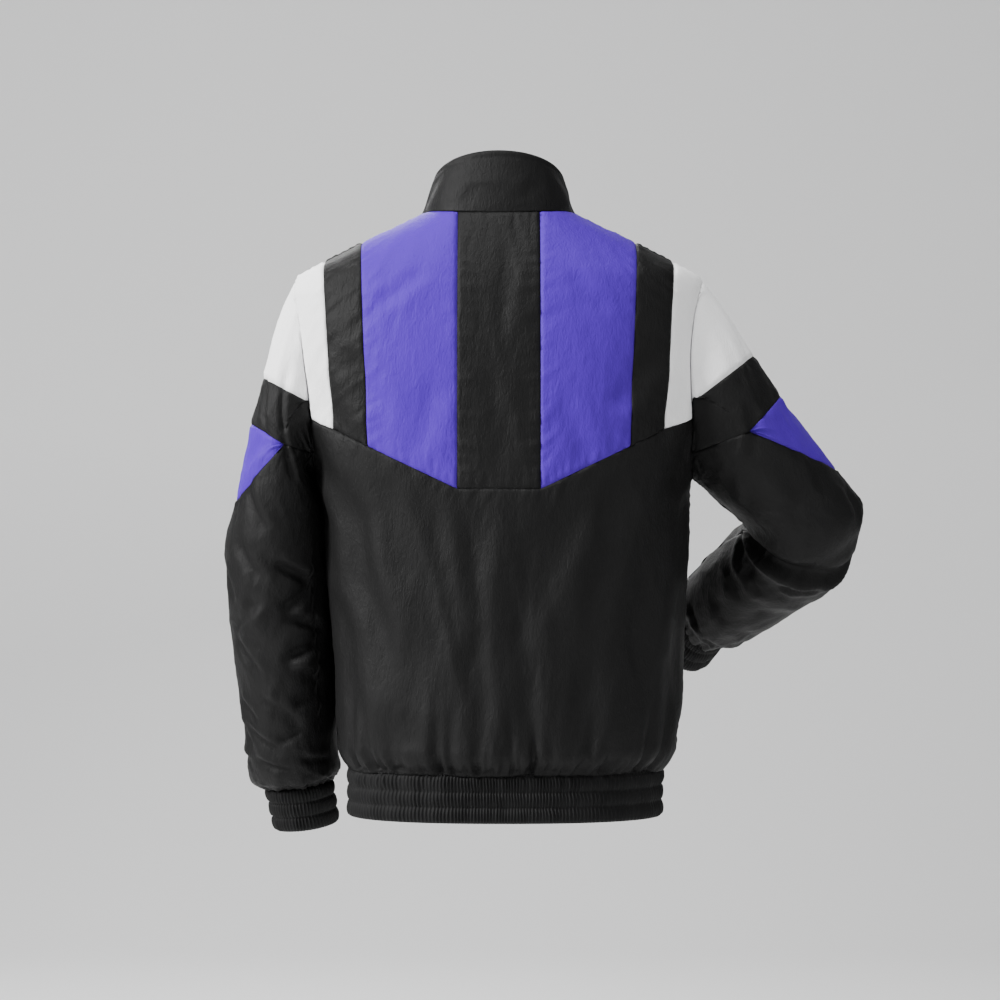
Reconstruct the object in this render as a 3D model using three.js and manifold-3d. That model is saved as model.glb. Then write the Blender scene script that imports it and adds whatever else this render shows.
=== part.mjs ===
// A zipped windbreaker jacket with a stand collar, worn shape, empty inside.
// Millimetres, +Z up, the front faces -Y, so +X is the wearer's left side.
// The origin is the centre of the neck opening, level with the collar seam at the back.
import * as THREE from 'three';
import { mergeVertices } from 'three/addons/utils/BufferGeometryUtils.js';
import Module from 'manifold-3d';

// Driving sizes
const WALL = 1.5;
const SEAM_GAP = 0.3;
const OVAL_POWER = 2.35;
const NECK_SIDE_RISE = 5;
const NECK_FRONT_DROP = 55;
const COLLAR_BACK_HEIGHT = 71;
const COLLAR_SIDE_HEIGHT = 42;
const COLLAR_TOP_HALF_WIDTH = 75;
const COLLAR_TOP_BACK = 66;
const COLLAR_TOP_FRONT = 92;
const COLLAR_BOW = 1.5;
const SHOULDER_SEAM_ANGLE = 81;
const ARMHOLE_TOP = -75;
const ARMPIT = -301;
const HEM_SEAM = -643;
const HEM_BOTTOM = -697;
const FRONT_EDGE = 6;
const STRIPE_INNER = 47.3;
const STRIPE_OUTER_TOP = 159;
const STRIPE_OUTER_BOTTOM = 149;
const WHITE_EDGE_TOP = 202.5;
const WHITE_EDGE_BOTTOM = 191;
const CHEVRON_LOW = -318;
const CHEVRON_SLOPE = 0.475;
const HEM_RIBS = 96;
const CUFF_RIBS = 26;
const RIB_DEPTH = 1.1;

// Torso sections: height, half width, sideways centre, depth behind and in front of the ridge
const TORSO = {
  columns: ['z', 'halfWidth', 'centreX', 'back', 'front'],
  rows: [
    [9, 78, 0, 70, 72],
    [0, 95, 0, 78, 82],
    [-31, 160, 0, 93, 92],
    [-54, 204, 0, 103, 97],
    [-73, 236, 0, 110, 106],
    [-95, 243, 3, 116, 115],
    [-145, 242, 3, 125, 128],
    [-237, 233, -3, 132, 137],
    [-301, 219, -5, 134, 140],
    [-356, 210.7, -10, 135, 141],
    [-424, 208, -11, 136, 141],
    [-518, 202, -12.6, 136, 140],
    [-574, 198.5, -11.8, 136, 139],
    [-612, 195, -10, 134, 137],
    [-631, 189, -8.5, 128, 131],
    [-643, 182, -7, 119, 122],
  ],
};

// Sleeve stations: outer and inner edge seen from behind, forward place, half depth across
const LEFT_SLEEVE = {
  columns: ['outerX', 'outerZ', 'innerX', 'innerZ', 'y', 'depth'],
  rows: [
    [236, -75, 214, -301, 0, 60],
    [254, -108, 214, -303, 0, 66],
    [274, -189, 213, -311, -2, 70],
    [287, -240, 211.5, -323.6, -4, 71],
    [300, -295, 209, -340, -6, 71],
    [308.5, -331, 207, -359, -9, 70],
    [321, -387, 203, -396, -14, 69],
    [320, -425, 201.5, -430, -18, 68],
    [317, -466, 199, -472, -24, 67],
    [312, -508, 197, -515, -30, 65],
    [303, -584, 195, -594, -44, 61],
    [296.3, -645, 191, -640, -54, 55],
    [290, -663, 194, -652, -57, 49],
    [276, -672, 199.4, -662.3, -58, 41],
  ],
};
const RIGHT_SLEEVE = {
  columns: ['outerX', 'outerZ', 'innerX', 'innerZ', 'y', 'depth'],
  rows: [
    [-236, -75, -224, -301, 0, 60],
    [-260, -104, -226, -303, 0, 66],
    [-297, -162, -231, -308, -2, 70],
    [-327, -207, -238, -314, -5, 71],
    [-360, -250, -247, -323, -8, 71],
    [-395, -293, -267, -340, -14, 70],
    [-413, -314, -281, -351, -18, 69],
    [-428, -338, -291, -360, -24, 68],
    [-424, -368, -292, -366, -34, 67],
    [-416, -398, -288, -370, -48, 66],
    [-402, -424, -280, -375, -66, 64],
    [-377, -447, -266, -386, -92, 61],
    [-331, -482, -246, -408, -132, 57],
    [-298, -503, -232, -429, -160, 52],
    [-287, -506, -229, -442, -168, 47],
    [-279, -501, -233, -454, -172, 40],
  ],
};

const COLOURS = {
  black: { color: 0x242427, roughness: 0.62, metalness: 0 },
  purple: { color: 0x5a46c8, roughness: 0.6, metalness: 0 },
  white: { color: 0xe9e9ec, roughness: 0.6, metalness: 0 },
  ribbed: { color: 0x2a2a2d, roughness: 0.75, metalness: 0 },
  tape: { color: 0x1b1b1d, roughness: 0.8, metalness: 0 },
  metal: { color: 0x77797d, roughness: 0.35, metalness: 0.9 },
};

const radians = THREE.MathUtils.degToRad;
const wasm = await Module();
wasm.setup();

// Reads a table at a fraction between its rows, smoothly and without overshoot
function slopeAt(xs, ys, i) {
  if (i === 0 || i === xs.length - 1) {
    const j = i === 0 ? 0 : xs.length - 2;
    return (ys[j + 1] - ys[j]) / (xs[j + 1] - xs[j]);
  }
  const before = (ys[i] - ys[i - 1]) / (xs[i] - xs[i - 1]);
  const after = (ys[i + 1] - ys[i]) / (xs[i + 1] - xs[i]);
  if (before * after <= 0) return 0;
  return (2 * before * after) / (before + after);
}

function smoothLookup(xs, ys, x) {
  const rising = xs[xs.length - 1] > xs[0];
  let i = 0;
  while (i < xs.length - 2 && (rising ? x > xs[i + 1] : x < xs[i + 1])) i += 1;
  const span = xs[i + 1] - xs[i];
  const t = (x - xs[i]) / span;
  const a = slopeAt(xs, ys, i) * span;
  const b = slopeAt(xs, ys, i + 1) * span;
  if (t < 0) return ys[i] + a * t;
  if (t > 1) return ys[i + 1] + b * (t - 1);
  const change = ys[i + 1] - ys[i];
  return ys[i] + t * (a + t * (3 * change - 2 * a - b + t * (a + b - 2 * change)));
}

function tableReader(table, keyName) {
  const key = table.columns.indexOf(keyName);
  const xs = table.rows.map((row, index) => (key < 0 ? index : row[key]));
  const readers = {};
  table.columns.forEach((name, column) => {
    const ys = table.rows.map((row) => row[column]);
    readers[name] = (x) => smoothLookup(xs, ys, x);
  });
  return readers;
}

const torso = tableReader(TORSO, 'z');
const sleeveTables = { 1: tableReader(LEFT_SLEEVE, 'row'), '-1': tableReader(RIGHT_SLEEVE, 'row') };
const sleeveEnds = { 1: LEFT_SLEEVE.rows.length - 1, '-1': RIGHT_SLEEVE.rows.length - 1 };

// The largest folds of the body: soft troughs from one place to another on it
const BODY_FOLDS = {
  columns: ['angleTop', 'zTop', 'angleEnd', 'zEnd', 'depth', 'width'],
  rows: [
    [22, -330, 9, -600, 3.2, 5.5],
    [-21, -335, -8, -610, 2.8, 5],
    [44, -300, 27, -590, 3.5, 6],
    [-46, -290, -30, -600, 3.2, 6.5],
    [68, -290, 52, -560, 4, 6],
    [-70, -300, -55, -585, 3.6, 6],
    [150, -330, 158, -600, 3, 6],
    [-148, -320, -157, -590, 3.2, 6],
    [118, -290, 130, -570, 3.6, 6],
    [-120, -300, -131, -590, 3.4, 6],
  ],
};

const bell = (x) => Math.exp(-x * x);
const ramp = (x) => {
  const t = Math.min(1, Math.max(0, x));
  return t * t * (3 - 2 * t);
};

function bodyFold(angle, z) {
  let sunk = 0;
  for (const [angleTop, zTop, angleEnd, zEnd, depth, width] of BODY_FOLDS.rows) {
    const along = (z - zTop) / (zEnd - zTop);
    const middle = angleTop + (angleEnd - angleTop) * along;
    const fade = ramp(along * 4 + 0.2) * ramp((1 - along) * 4 + 0.2);
    sunk += depth * fade * bell((angle - middle) / width);
  }
  return sunk;
}

// A point of the body's outer face: angle in degrees round from the back centre, and a height
function bodyPoint(angle, z) {
  const sine = Math.sin(radians(angle));
  const cosine = Math.cos(radians(angle));
  const depth = cosine >= 0 ? torso.back(z) : torso.front(z);
  const sum = Math.abs(sine / torso.halfWidth(z)) ** OVAL_POWER + Math.abs(cosine / depth) ** OVAL_POWER;
  const radius = sum ** (-1 / OVAL_POWER) - bodyFold(angle, z);
  return new THREE.Vector3(torso.centreX(z) + radius * sine, radius * cosine, z);
}

// The angle of the place at sideways distance x and height z, on the back or the front
function angleOf(x, z, isBack) {
  const across = x - torso.centreX(z);
  const share = Math.min(1, Math.abs(across) / torso.halfWidth(z));
  const depth = isBack ? torso.back(z) : -torso.front(z);
  const y = depth * (1 - share ** OVAL_POWER) ** (1 / OVAL_POWER);
  const angle = THREE.MathUtils.radToDeg(Math.atan2(across, y));
  return isBack || across * x >= 0 ? angle : angle + 360 * Math.sign(x);
}

function neckline(angle) {
  const cosine = Math.cos(radians(angle));
  if (cosine >= 0) return NECK_SIDE_RISE * (1 - cosine * cosine);
  return NECK_SIDE_RISE - (NECK_SIDE_RISE + NECK_FRONT_DROP) * Math.abs(cosine) ** 1.6;
}

// The armhole: turn 0 is its top, 90 its back, 180 the armpit and -90 its front
const ARMHOLE_MIDDLE = (ARMHOLE_TOP + ARMPIT) / 2;
const ARMHOLE_HALF = (ARMHOLE_TOP - ARMPIT) / 2;
const ARMHOLE_SPREAD = { 1: 15, '-1': 15 };
const SEAM_TURN = 10;
const CHEVRON_TURN = 116;
const SHOULDER_STEPS = 1;
const PANEL_STEPS = 10;
const UNDERARM_STEPS = 5;

function armhole(side, turn) {
  const sine = Math.sin(radians(turn));
  const lean = ARMHOLE_SPREAD[side] * Math.sign(sine) * Math.abs(sine) ** 0.8;
  return [side * (90 - lean), ARMHOLE_MIDDLE + ARMHOLE_HALF * Math.cos(radians(turn))];
}

// Evenly spaced values from first to last
function spaced(first, last, steps) {
  return Array.from({ length: steps + 1 }, (_, i) => first + ((last - first) * i) / steps);
}

// Joins lists whose ends meet, keeping each shared point once
function chain(...lists) {
  return lists.flatMap((list, i) => (i === 0 ? list : list.slice(1)));
}

// Where a line of the pattern, straight as seen from behind, lies on the body
function straightSeam(from, to, steps, isBack) {
  return spaced(0, 1, steps).map((t) => {
    const x = from[0] + (to[0] - from[0]) * t;
    const z = from[1] + (to[1] - from[1]) * t;
    return [angleOf(x, z, isBack), z];
  });
}

// A grid over four edges that share their corners: u runs along the top, v down the left edge
function blended(top, bottom, left, right) {
  const cols = top.length - 1;
  const rows = left.length - 1;
  return left.map((_, j) => top.map((__, i) => {
    const u = i / cols;
    const v = j / rows;
    return top[i].map((___, k) => (1 - v) * top[i][k] + v * bottom[i][k]
      + (1 - u) * left[j][k] + u * right[j][k]
      - (1 - u) * (1 - v) * top[0][k] - u * (1 - v) * top[cols][k]
      - (1 - u) * v * bottom[0][k] - u * v * bottom[cols][k]);
  }));
}

// The same for a body panel: blended in space, then laid back on the body from its axis outwards
function bodyPanelGrid(...edges) {
  const inSpace = edges.map((edge) => edge.map(([angle, z]) => bodyPoint(angle, z).toArray()));
  const [top, bottom, left, right] = edges;
  const spaceGrid = blended(...inSpace);
  return spaceGrid.map((line, j) => line.map(([x, y, z], i) => {
    if (j === 0) return top[i];
    if (j === left.length - 1) return bottom[i];
    if (i === 0) return left[j];
    if (i === top.length - 1) return right[j];
    const angle = THREE.MathUtils.radToDeg(Math.atan2(x - torso.centreX(z), y));
    const near = left[j][0];
    return [angle + 360 * Math.round((near - angle) / 360), z];
  }));
}

// A grid of straight lines between two edges with the same number of points
function ruled(top, bottom, rows) {
  return spaced(0, 1, rows).map((v) => top.map((point, i) => [
    point[0] + (bottom[i][0] - point[0]) * v,
    point[1] + (bottom[i][1] - point[1]) * v,
  ]));
}

// The outward direction of a surface at a place on it
function outward(surface, a, b, stepA, stepB) {
  const alongA = surface(a + stepA, b).sub(surface(a - stepA, b));
  const alongB = surface(a, b + stepB).sub(surface(a, b - stepB));
  return alongA.cross(alongB).normalize();
}

// A cloth panel: the grid's places on the surface, a wall inwards, and four closed edges
function clothPanel(name, colour, surface, grid, options = {}) {
  const { wall = WALL, steps = [0.05, 0.05], flip = -1, raise = () => 0, trim = () => 0 } = options;
  const rows = grid.length - 1;
  const cols = grid[0].length - 1;
  const points = grid.map((line) => line.map(([a, b]) => surface(a, b)));
  const normals = grid.map((line) => line.map(([a, b]) => (
    outward(surface, a, b, steps[0], steps[1]).multiplyScalar(flip))));
  const inset = (j, i, distance) => {
    const moved = new THREE.Vector3();
    const push = (dj, di) => {
      const next = [Math.min(rows, j + (di ? 1 : 0)), Math.min(cols, i + (dj ? 1 : 0))];
      const last = [Math.max(0, j - (di ? 1 : 0)), Math.max(0, i - (dj ? 1 : 0))];
      const tangent = points[next[0]][next[1]].clone().sub(points[last[0]][last[1]]);
      const inwards = tangent.cross(normals[j][i]).normalize();
      const towards = points[j + dj][i + di].clone().sub(points[j][i]);
      moved.addScaledVector(inwards, Math.sign(inwards.dot(towards)) * distance);
    };
    if (j === 0) push(1, 0);
    if (j === rows) push(-1, 0);
    if (i === 0) push(0, 1);
    if (i === cols) push(0, -1);
    return moved;
  };
  const positions = [];
  const layer = (isOuter) => points.forEach((line, j) => line.forEach((point, i) => {
    const placed = point.clone().add(inset(j, i, SEAM_GAP / 2 + (isOuter ? 0 : trim(j, i))));
    placed.addScaledVector(normals[j][i], isOuter ? raise(j, i) : -wall);
    positions.push(placed.x, placed.y, placed.z);
  }));
  layer(true);
  layer(false);
  const shift = (rows + 1) * (cols + 1);
  const at = (j, i) => j * (cols + 1) + i;
  const index = [];
  const quad = (a, b, c, d) => index.push(a, b, c, a, c, d);
  for (let j = 0; j < rows; j += 1) {
    for (let i = 0; i < cols; i += 1) {
      quad(at(j, i), at(j + 1, i), at(j + 1, i + 1), at(j, i + 1));
      quad(at(j, i) + shift, at(j, i + 1) + shift, at(j + 1, i + 1) + shift, at(j + 1, i) + shift);
    }
  }
  const rim = (a, b) => quad(a, b, b + shift, a + shift);
  for (let i = 0; i < cols; i += 1) {
    rim(at(0, i), at(0, i + 1));
    rim(at(rows, i + 1), at(rows, i));
  }
  for (let j = 0; j < rows; j += 1) {
    rim(at(j + 1, 0), at(j, 0));
    rim(at(j, cols), at(j + 1, cols));
  }
  const j = Math.floor(rows / 2);
  const i = Math.floor(cols / 2);
  const across = points[j][i + 1].clone().sub(points[j][i]);
  const down = points[j + 1][i].clone().sub(points[j][i]);
  if (down.cross(across).dot(normals[j][i]) < 0) index.reverse();
  const geometry = new THREE.BufferGeometry();
  geometry.setAttribute('position', new THREE.Float32BufferAttribute(positions, 3));
  geometry.setIndex(index);
  const mesh = new THREE.Mesh(geometry, new THREE.MeshStandardMaterial(COLOURS[colour]));
  mesh.name = name;
  return mesh;
}

const chevron = (x) => CHEVRON_LOW + CHEVRON_SLOPE * (Math.abs(x) - STRIPE_INNER);
const sideName = (side) => (side > 0 ? 'left' : 'right');

// The shoulder seam's angle at a height: it runs from the neck to just behind the armhole's top
function shoulderSeamAngle(side, z) {
  const [endAngle, endZ] = armhole(side, SEAM_TURN);
  const start = neckline(SHOULDER_SEAM_ANGLE);
  const startAngle = side * SHOULDER_SEAM_ANGLE;
  return startAngle + ((endAngle - startAngle) * (z - start)) / (endZ - start);
}

// The height at which a line over the shoulder, its angle given by height, reaches distance x
function shoulderHeight(x, side, angleAt) {
  let high = neckline(SHOULDER_SEAM_ANGLE);
  let low = ARMHOLE_TOP - 12;
  for (let i = 0; i < 40; i += 1) {
    const middle = (high + low) / 2;
    if (side * bodyPoint(angleAt(middle), middle).x < x) high = middle;
    else low = middle;
  }
  return (high + low) / 2;
}

const shoulderSeamHeight = (x, side) => shoulderHeight(x, side, (z) => shoulderSeamAngle(side, z));

// A front seam that starts on the shoulder seam: over the ridge at one distance x, then down
const RIDGE_ANGLE = 90;
const FRONT_OF_RIDGE_ANGLE = 102;
function frontSeam(x, seamZ, foot, side, steps) {
  const ridge = [RIDGE_ANGLE, FRONT_OF_RIDGE_ANGLE].map((angle) => [
    side * angle, shoulderHeight(x, side, () => side * angle)]);
  const [, startZ] = ridge[1];
  return chain([[shoulderSeamAngle(side, seamZ), seamZ], ...ridge],
    straightSeam([side * x, startZ], foot, steps - ridge.length, false));
}

const shoulderSeam = (side, fromZ, toZ, steps) => spaced(fromZ, toZ, steps)
  .map((z) => [shoulderSeamAngle(side, z), z]);
const neckEdge = (from, to, steps) => spaced(from, to, steps).map((angle) => [angle, neckline(angle)]);
const armholeEdge = (side, from, to, steps) => spaced(from, to, steps).map((turn) => armhole(side, turn));

// Steps along the neckline: collar and panels share them, so that their curved edges match
const NECK_STEPS = { middle: 6, back: 4, front: 6, strip: 3 };

// Where a line at sideways distance x meets the neckline
function neckCorner(x, isBack) {
  let z = 0;
  for (let i = 0; i < 30; i += 1) z = neckline(angleOf(x, z, isBack));
  return [x, z];
}

// The outer end of the chevron seam, on the armhole
function chevronEnd(side, isBack) {
  const [angle, z] = armhole(side, isBack ? CHEVRON_TURN : -CHEVRON_TURN);
  return [bodyPoint(angle, z).x, z];
}

// The coloured panels of one side, from the neck and shoulder down to the chevron seam
function upperPanels(side, isBack) {
  const face = isBack ? 'back' : 'front';
  const seam = (from, to, steps) => straightSeam(from, to, steps, isBack);
  const stripeTop = shoulderSeamHeight(STRIPE_OUTER_TOP, side);
  const whiteTop = shoulderSeamHeight(WHITE_EDGE_TOP, side);
  const [, seamEnd] = armhole(side, SEAM_TURN);
  const neck = neckCorner(side * STRIPE_INNER, isBack);
  const low = [side * STRIPE_INNER, CHEVRON_LOW];
  const end = chevronEnd(side, isBack);
  const stripeFoot = [side * STRIPE_OUTER_BOTTOM, chevron(STRIPE_OUTER_BOTTOM)];
  const whiteFoot = [side * WHITE_EDGE_BOTTOM, chevron(WHITE_EDGE_BOTTOM)];
  const innerEdge = seam(neck, low, PANEL_STEPS);
  const outerSeam = (x, top, foot) => (isBack
    ? seam([side * x, top], foot, PANEL_STEPS)
    : frontSeam(x, top, foot, side, PANEL_STEPS));
  const stripeEdge = outerSeam(STRIPE_OUTER_TOP, stripeTop, stripeFoot);
  const whiteEdge = outerSeam(WHITE_EDGE_TOP, whiteTop, whiteFoot);
  const stripeHead = chain(
    neckEdge(innerEdge[0][0], side * SHOULDER_SEAM_ANGLE, isBack ? NECK_STEPS.back : NECK_STEPS.front),
    shoulderSeam(side, neckline(SHOULDER_SEAM_ANGLE), stripeTop, 3),
  );
  const whiteHead = isBack
    ? shoulderSeam(side, whiteTop, seamEnd, 4)
    : chain(shoulderSeam(side, whiteTop, seamEnd, 4),
      armholeEdge(side, SEAM_TURN, -SEAM_TURN, 2 * SHOULDER_STEPS));
  const turn = isBack ? 1 : -1;
  const outerEdge = armholeEdge(side, turn * SEAM_TURN, turn * CHEVRON_TURN, PANEL_STEPS);
  const pieces = [
    ['stripe', 'purple', stripeHead, seam(low, stripeFoot, stripeHead.length - 1),
      innerEdge, stripeEdge],
    ['side', 'black', shoulderSeam(side, stripeTop, whiteTop, 3), seam(stripeFoot, whiteFoot, 3),
      stripeEdge, whiteEdge],
    ['shoulder', 'white', whiteHead, seam(whiteFoot, end, whiteHead.length - 1), whiteEdge, outerEdge],
  ];
  return pieces.map(([piece, colour, top, bottom, left, right]) => clothPanel(
    `${face}_${piece}_${sideName(side)}`, colour, bodyPoint, bodyPanelGrid(top, bottom, left, right),
    { trim: (j, i) => (isBack && piece === 'shoulder' && i === top.length - 1 ? INNER_TRIM.seam : 0) }));
}

// The black panel down the middle of the back
function backCentre() {
  const edge = (side) => straightSeam(neckCorner(side * STRIPE_INNER, true),
    [side * STRIPE_INNER, CHEVRON_LOW], PANEL_STEPS, true);
  const left = edge(-1);
  const right = edge(1);
  const top = neckEdge(left[0][0], right[0][0], NECK_STEPS.middle);
  const bottom = straightSeam([-STRIPE_INNER, CHEVRON_LOW], [STRIPE_INNER, CHEVRON_LOW], 6, true);
  return clothPanel('back_centre', 'black', bodyPoint, bodyPanelGrid(top, bottom, left, right));
}

// The black strip between the zip and the front stripe
function frontCentre(side) {
  const edge = (x) => straightSeam(neckCorner(side * x, false), [side * x, CHEVRON_LOW], PANEL_STEPS, false);
  const left = edge(FRONT_EDGE);
  const right = edge(STRIPE_INNER);
  const top = neckEdge(left[0][0], right[0][0], NECK_STEPS.strip);
  const bottom = straightSeam([side * FRONT_EDGE, CHEVRON_LOW], [side * STRIPE_INNER, CHEVRON_LOW], 3, false);
  return clothPanel(`front_centre_${sideName(side)}`, 'black', bodyPoint,
    bodyPanelGrid(top, bottom, left, right));
}

// The upper edge of a lower panel, from the middle out to the armpit
function lowerHead(side, isBack, middleX, middleSteps) {
  const seam = (from, to, steps) => straightSeam(from, to, steps, isBack);
  const turn = isBack ? 1 : -1;
  const low = [side * STRIPE_INNER, CHEVRON_LOW];
  return chain(
    seam([side * middleX, CHEVRON_LOW], low, middleSteps),
    seam(low, chevronEnd(side, isBack), 8),
    armholeEdge(side, turn * CHEVRON_TURN, turn * 180, UNDERARM_STEPS),
  );
}

// Heights down a lower panel, closer together where it blouses over the hem band
const LOWER_ROWS = [0, 0.15, 0.31, 0.47, 0.62, 0.76, 0.87, 0.945, 0.98, 1];

function lowerPanel(name, head, frontSide = 0) {
  const first = head[0][0];
  const last = head[head.length - 1][0];
  const edgeShift = (z) => (frontSide === 0 ? 0 : angleOf(frontSide * FRONT_EDGE, z, false) - first);
  const grid = LOWER_ROWS.map((v) => {
    const shift = edgeShift(CHEVRON_LOW + (HEM_SEAM - CHEVRON_LOW) * v);
    return head.map(([angle, z], i) => {
      const u = i / (head.length - 1);
      const hemAngle = first + (last - first) * u;
      return [angle + (hemAngle - angle) * v + shift * (1 - u) ** 2, z + (HEM_SEAM - z) * v];
    });
  });
  return clothPanel(name, 'black', bodyPoint, grid,
    { trim: (j) => (j === 0 ? INNER_TRIM.panel : 0) });
}

function lowerBack() {
  const left = lowerHead(1, true, 0, 3);
  const right = lowerHead(-1, true, 0, 3).reverse();
  return lowerPanel('back_lower', chain(right, left));
}

const lowerFront = (side) => lowerPanel(`front_lower_${sideName(side)}`,
  lowerHead(side, false, FRONT_EDGE, 3), side);

// The stand collar: from the neckline up to its top edge, open at the front
const COLLAR_ROWS = 4;
function collarPoint(angle, t) {
  const base = bodyPoint(angle, neckline(angle));
  const sine = Math.sin(radians(angle));
  const cosine = Math.cos(radians(angle));
  const top = new THREE.Vector3(
    COLLAR_TOP_HALF_WIDTH * sine,
    (cosine >= 0 ? COLLAR_TOP_BACK : COLLAR_TOP_FRONT) * cosine,
    COLLAR_SIDE_HEIGHT + (COLLAR_BACK_HEIGHT - COLLAR_SIDE_HEIGHT) * cosine,
  );
  const bow = COLLAR_BOW * Math.sin(Math.PI * t);
  return base.lerp(top, t).add(new THREE.Vector3(bow * sine, bow * cosine, 0));
}

function collar() {
  const neckAngle = (x, isBack) => angleOf(...neckCorner(x, isBack), isBack);
  const half = (side) => {
    const backCorner = neckAngle(side * STRIPE_INNER, true);
    const frontCorner = neckAngle(side * STRIPE_INNER, false);
    return chain(
      spaced(backCorner, side * SHOULDER_SEAM_ANGLE, NECK_STEPS.back),
      spaced(side * SHOULDER_SEAM_ANGLE, frontCorner, NECK_STEPS.front),
      spaced(frontCorner, neckAngle(side * FRONT_EDGE, false), NECK_STEPS.strip),
    );
  };
  const left = half(1);
  const right = half(-1).reverse();
  const angles = chain(right, spaced(right[right.length - 1], left[0], NECK_STEPS.middle), left);
  const grid = spaced(1, 0, COLLAR_ROWS).map((t) => angles.map((angle) => [angle, t]));
  return clothPanel('collar', 'black', collarPoint, grid, { steps: [0.05, 0.002] });
}

// An elastic band: soft rows one above the other, with upright ribs raised on its outer face
const BAND_ROWS = 3;
const BAND_SWELL = 1.6;
const BAND_STEPS = 2;
const BAND_WALL = 2;

function hemPoint(angle, z) {
  const t = (z - HEM_SEAM) / (HEM_BOTTOM - HEM_SEAM);
  const seam = bodyPoint(angle, HEM_SEAM);
  const swell = BAND_SWELL * Math.abs(Math.sin(Math.PI * BAND_ROWS * t));
  const away = new THREE.Vector3(seam.x - torso.centreX(HEM_SEAM), seam.y, 0).normalize();
  return seam.addScaledVector(away, swell).setZ(z);
}

function hemBand() {
  const rightEdge = angleOf(-FRONT_EDGE, HEM_SEAM, false);
  const leftEdge = angleOf(FRONT_EDGE, HEM_SEAM, false);
  const grid = spaced(HEM_SEAM, HEM_BOTTOM, BAND_STEPS).map((z) => (
    spaced(rightEdge, leftEdge, 2 * HEM_RIBS).map((angle) => [angle, z])));
  const raise = (j, i) => (i % 2 === 0 ? 0 : RIB_DEPTH);
  return clothPanel('hem_band', 'ribbed', hemPoint, grid, { wall: BAND_WALL, raise });
}

// Sleeves: each station is an oval between its outer and inner edge, turned square to the arm
function sleeveOval(side, turn, station) {
  const table = sleeveTables[side];
  const middle = (k) => new THREE.Vector3(
    (table.outerX(k) + table.innerX(k)) / 2, table.y(k), (table.outerZ(k) + table.innerZ(k)) / 2);
  const outwards = new THREE.Vector3(table.outerX(station) - table.innerX(station), 0,
    table.outerZ(station) - table.innerZ(station)).multiplyScalar(0.5);
  const arm = middle(station + 0.1).sub(middle(station - 0.1));
  const backwards = arm.cross(outwards).normalize();
  if (backwards.y < 0) backwards.negate();
  return middle(station)
    .addScaledVector(outwards, Math.cos(radians(turn)))
    .addScaledVector(backwards, table.depth(station) * Math.sin(radians(turn)));
}

// Creases of each sleeve: station, turn round the arm, slant, depth and widths
const SLEEVE_FOLDS = {
  1: [
    [6.2, 95, 0.012, 3.5, 0.35, 55],
    [7.6, 120, -0.014, 3.2, 0.4, 50],
    [8.7, 60, 0.012, 3, 0.4, 55],
    [7.2, -100, 0.012, 3.2, 0.4, 55],
  ],
  '-1': [
    [8.2, 70, 0.01, 4, 0.45, 60],
    [9.6, 110, -0.012, 3.5, 0.4, 50],
    [11.2, 60, 0.01, 3, 0.5, 50],
    [8.6, -110, 0.01, 3.5, 0.45, 55],
  ],
};

function sleevePoint(side, turn, station) {
  const seam = bodyPoint(...armhole(side, turn));
  const oval = sleeveOval(side, turn, station);
  const point = seam.lerp(oval, ramp(station / 1.6));
  const middle = sleeveOval(side, 0, station).add(sleeveOval(side, 180, station)).multiplyScalar(0.5);
  let sunk = 0;
  for (const [at, around, slant, depth, length, width] of SLEEVE_FOLDS[side]) {
    const off = station - at - slant * (turn - around);
    sunk += depth * bell(off / length) * bell((turn - around) / width);
  }
  return point.addScaledVector(middle.sub(point).normalize(), sunk);
}

// Where the sleeve's seams lie: station and turn of the corners of its coloured blocks
const SLEEVE_PATTERN = {
  1: { capEnd: 2, kiteTop: 3.05, kitePoint: 2.2, kiteTurn: 97, kiteFoot: 5.05 },
  '-1': { capEnd: 2, kiteTop: 3.05, kitePoint: 2.73, kiteTurn: 84, kiteFoot: 5.05 },
};
const CAP_CORNER = 4;
const CAP_SIDE = 5;
const CAP_STEP = (CHEVRON_TURN - SEAM_TURN) / PANEL_STEPS;
const CAP_CORNER_TURN = SEAM_TURN + CAP_STEP * CAP_CORNER;
const CAP_END_TURN = CAP_CORNER_TURN + CAP_STEP * CAP_SIDE;
const LOWER_SLEEVE_ROWS = 13;
const BAND_UNDER_STEPS = 2;
const BAND_END_TURN = CHEVRON_TURN + ((180 - CHEVRON_TURN) * BAND_UNDER_STEPS) / UNDERARM_STEPS;

const armholeRing = (from, to, steps) => spaced(from, to, steps).map((turn) => [turn, 0]);
const sleeveSeam = (from, to, steps) => spaced(0, 1, steps).map((t) => [
  from[0] + (to[0] - from[0]) * t, from[1] + (to[1] - from[1]) * t]);

// A sleeve seam that looks straight from behind: at each turn its station is found by halving
const SEAM_SEARCH = { margin: 0.7, rounds: 30 };

function straightSleeveSeam(side, from, to, steps) {
  const start = sleevePoint(side, ...from);
  const end = sleevePoint(side, ...to);
  const offLine = (turn, station) => {
    const point = sleevePoint(side, turn, station);
    return (point.x - start.x) * (end.z - start.z) - (point.z - start.z) * (end.x - start.x);
  };
  return sleeveSeam(from, to, steps).map(([turn, station], i) => {
    if (i === 0 || i === steps) return [turn, station];
    let low = Math.max(0, Math.min(from[1], to[1]) - SEAM_SEARCH.margin);
    let high = Math.max(from[1], to[1]) + SEAM_SEARCH.margin;
    const lowSign = Math.sign(offLine(turn, low));
    for (let round = 0; round < SEAM_SEARCH.rounds; round += 1) {
      const middle = (low + high) / 2;
      if (Math.sign(offLine(turn, middle)) === lowSign) low = middle;
      else high = middle;
    }
    return [turn, (low + high) / 2];
  });
}

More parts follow.
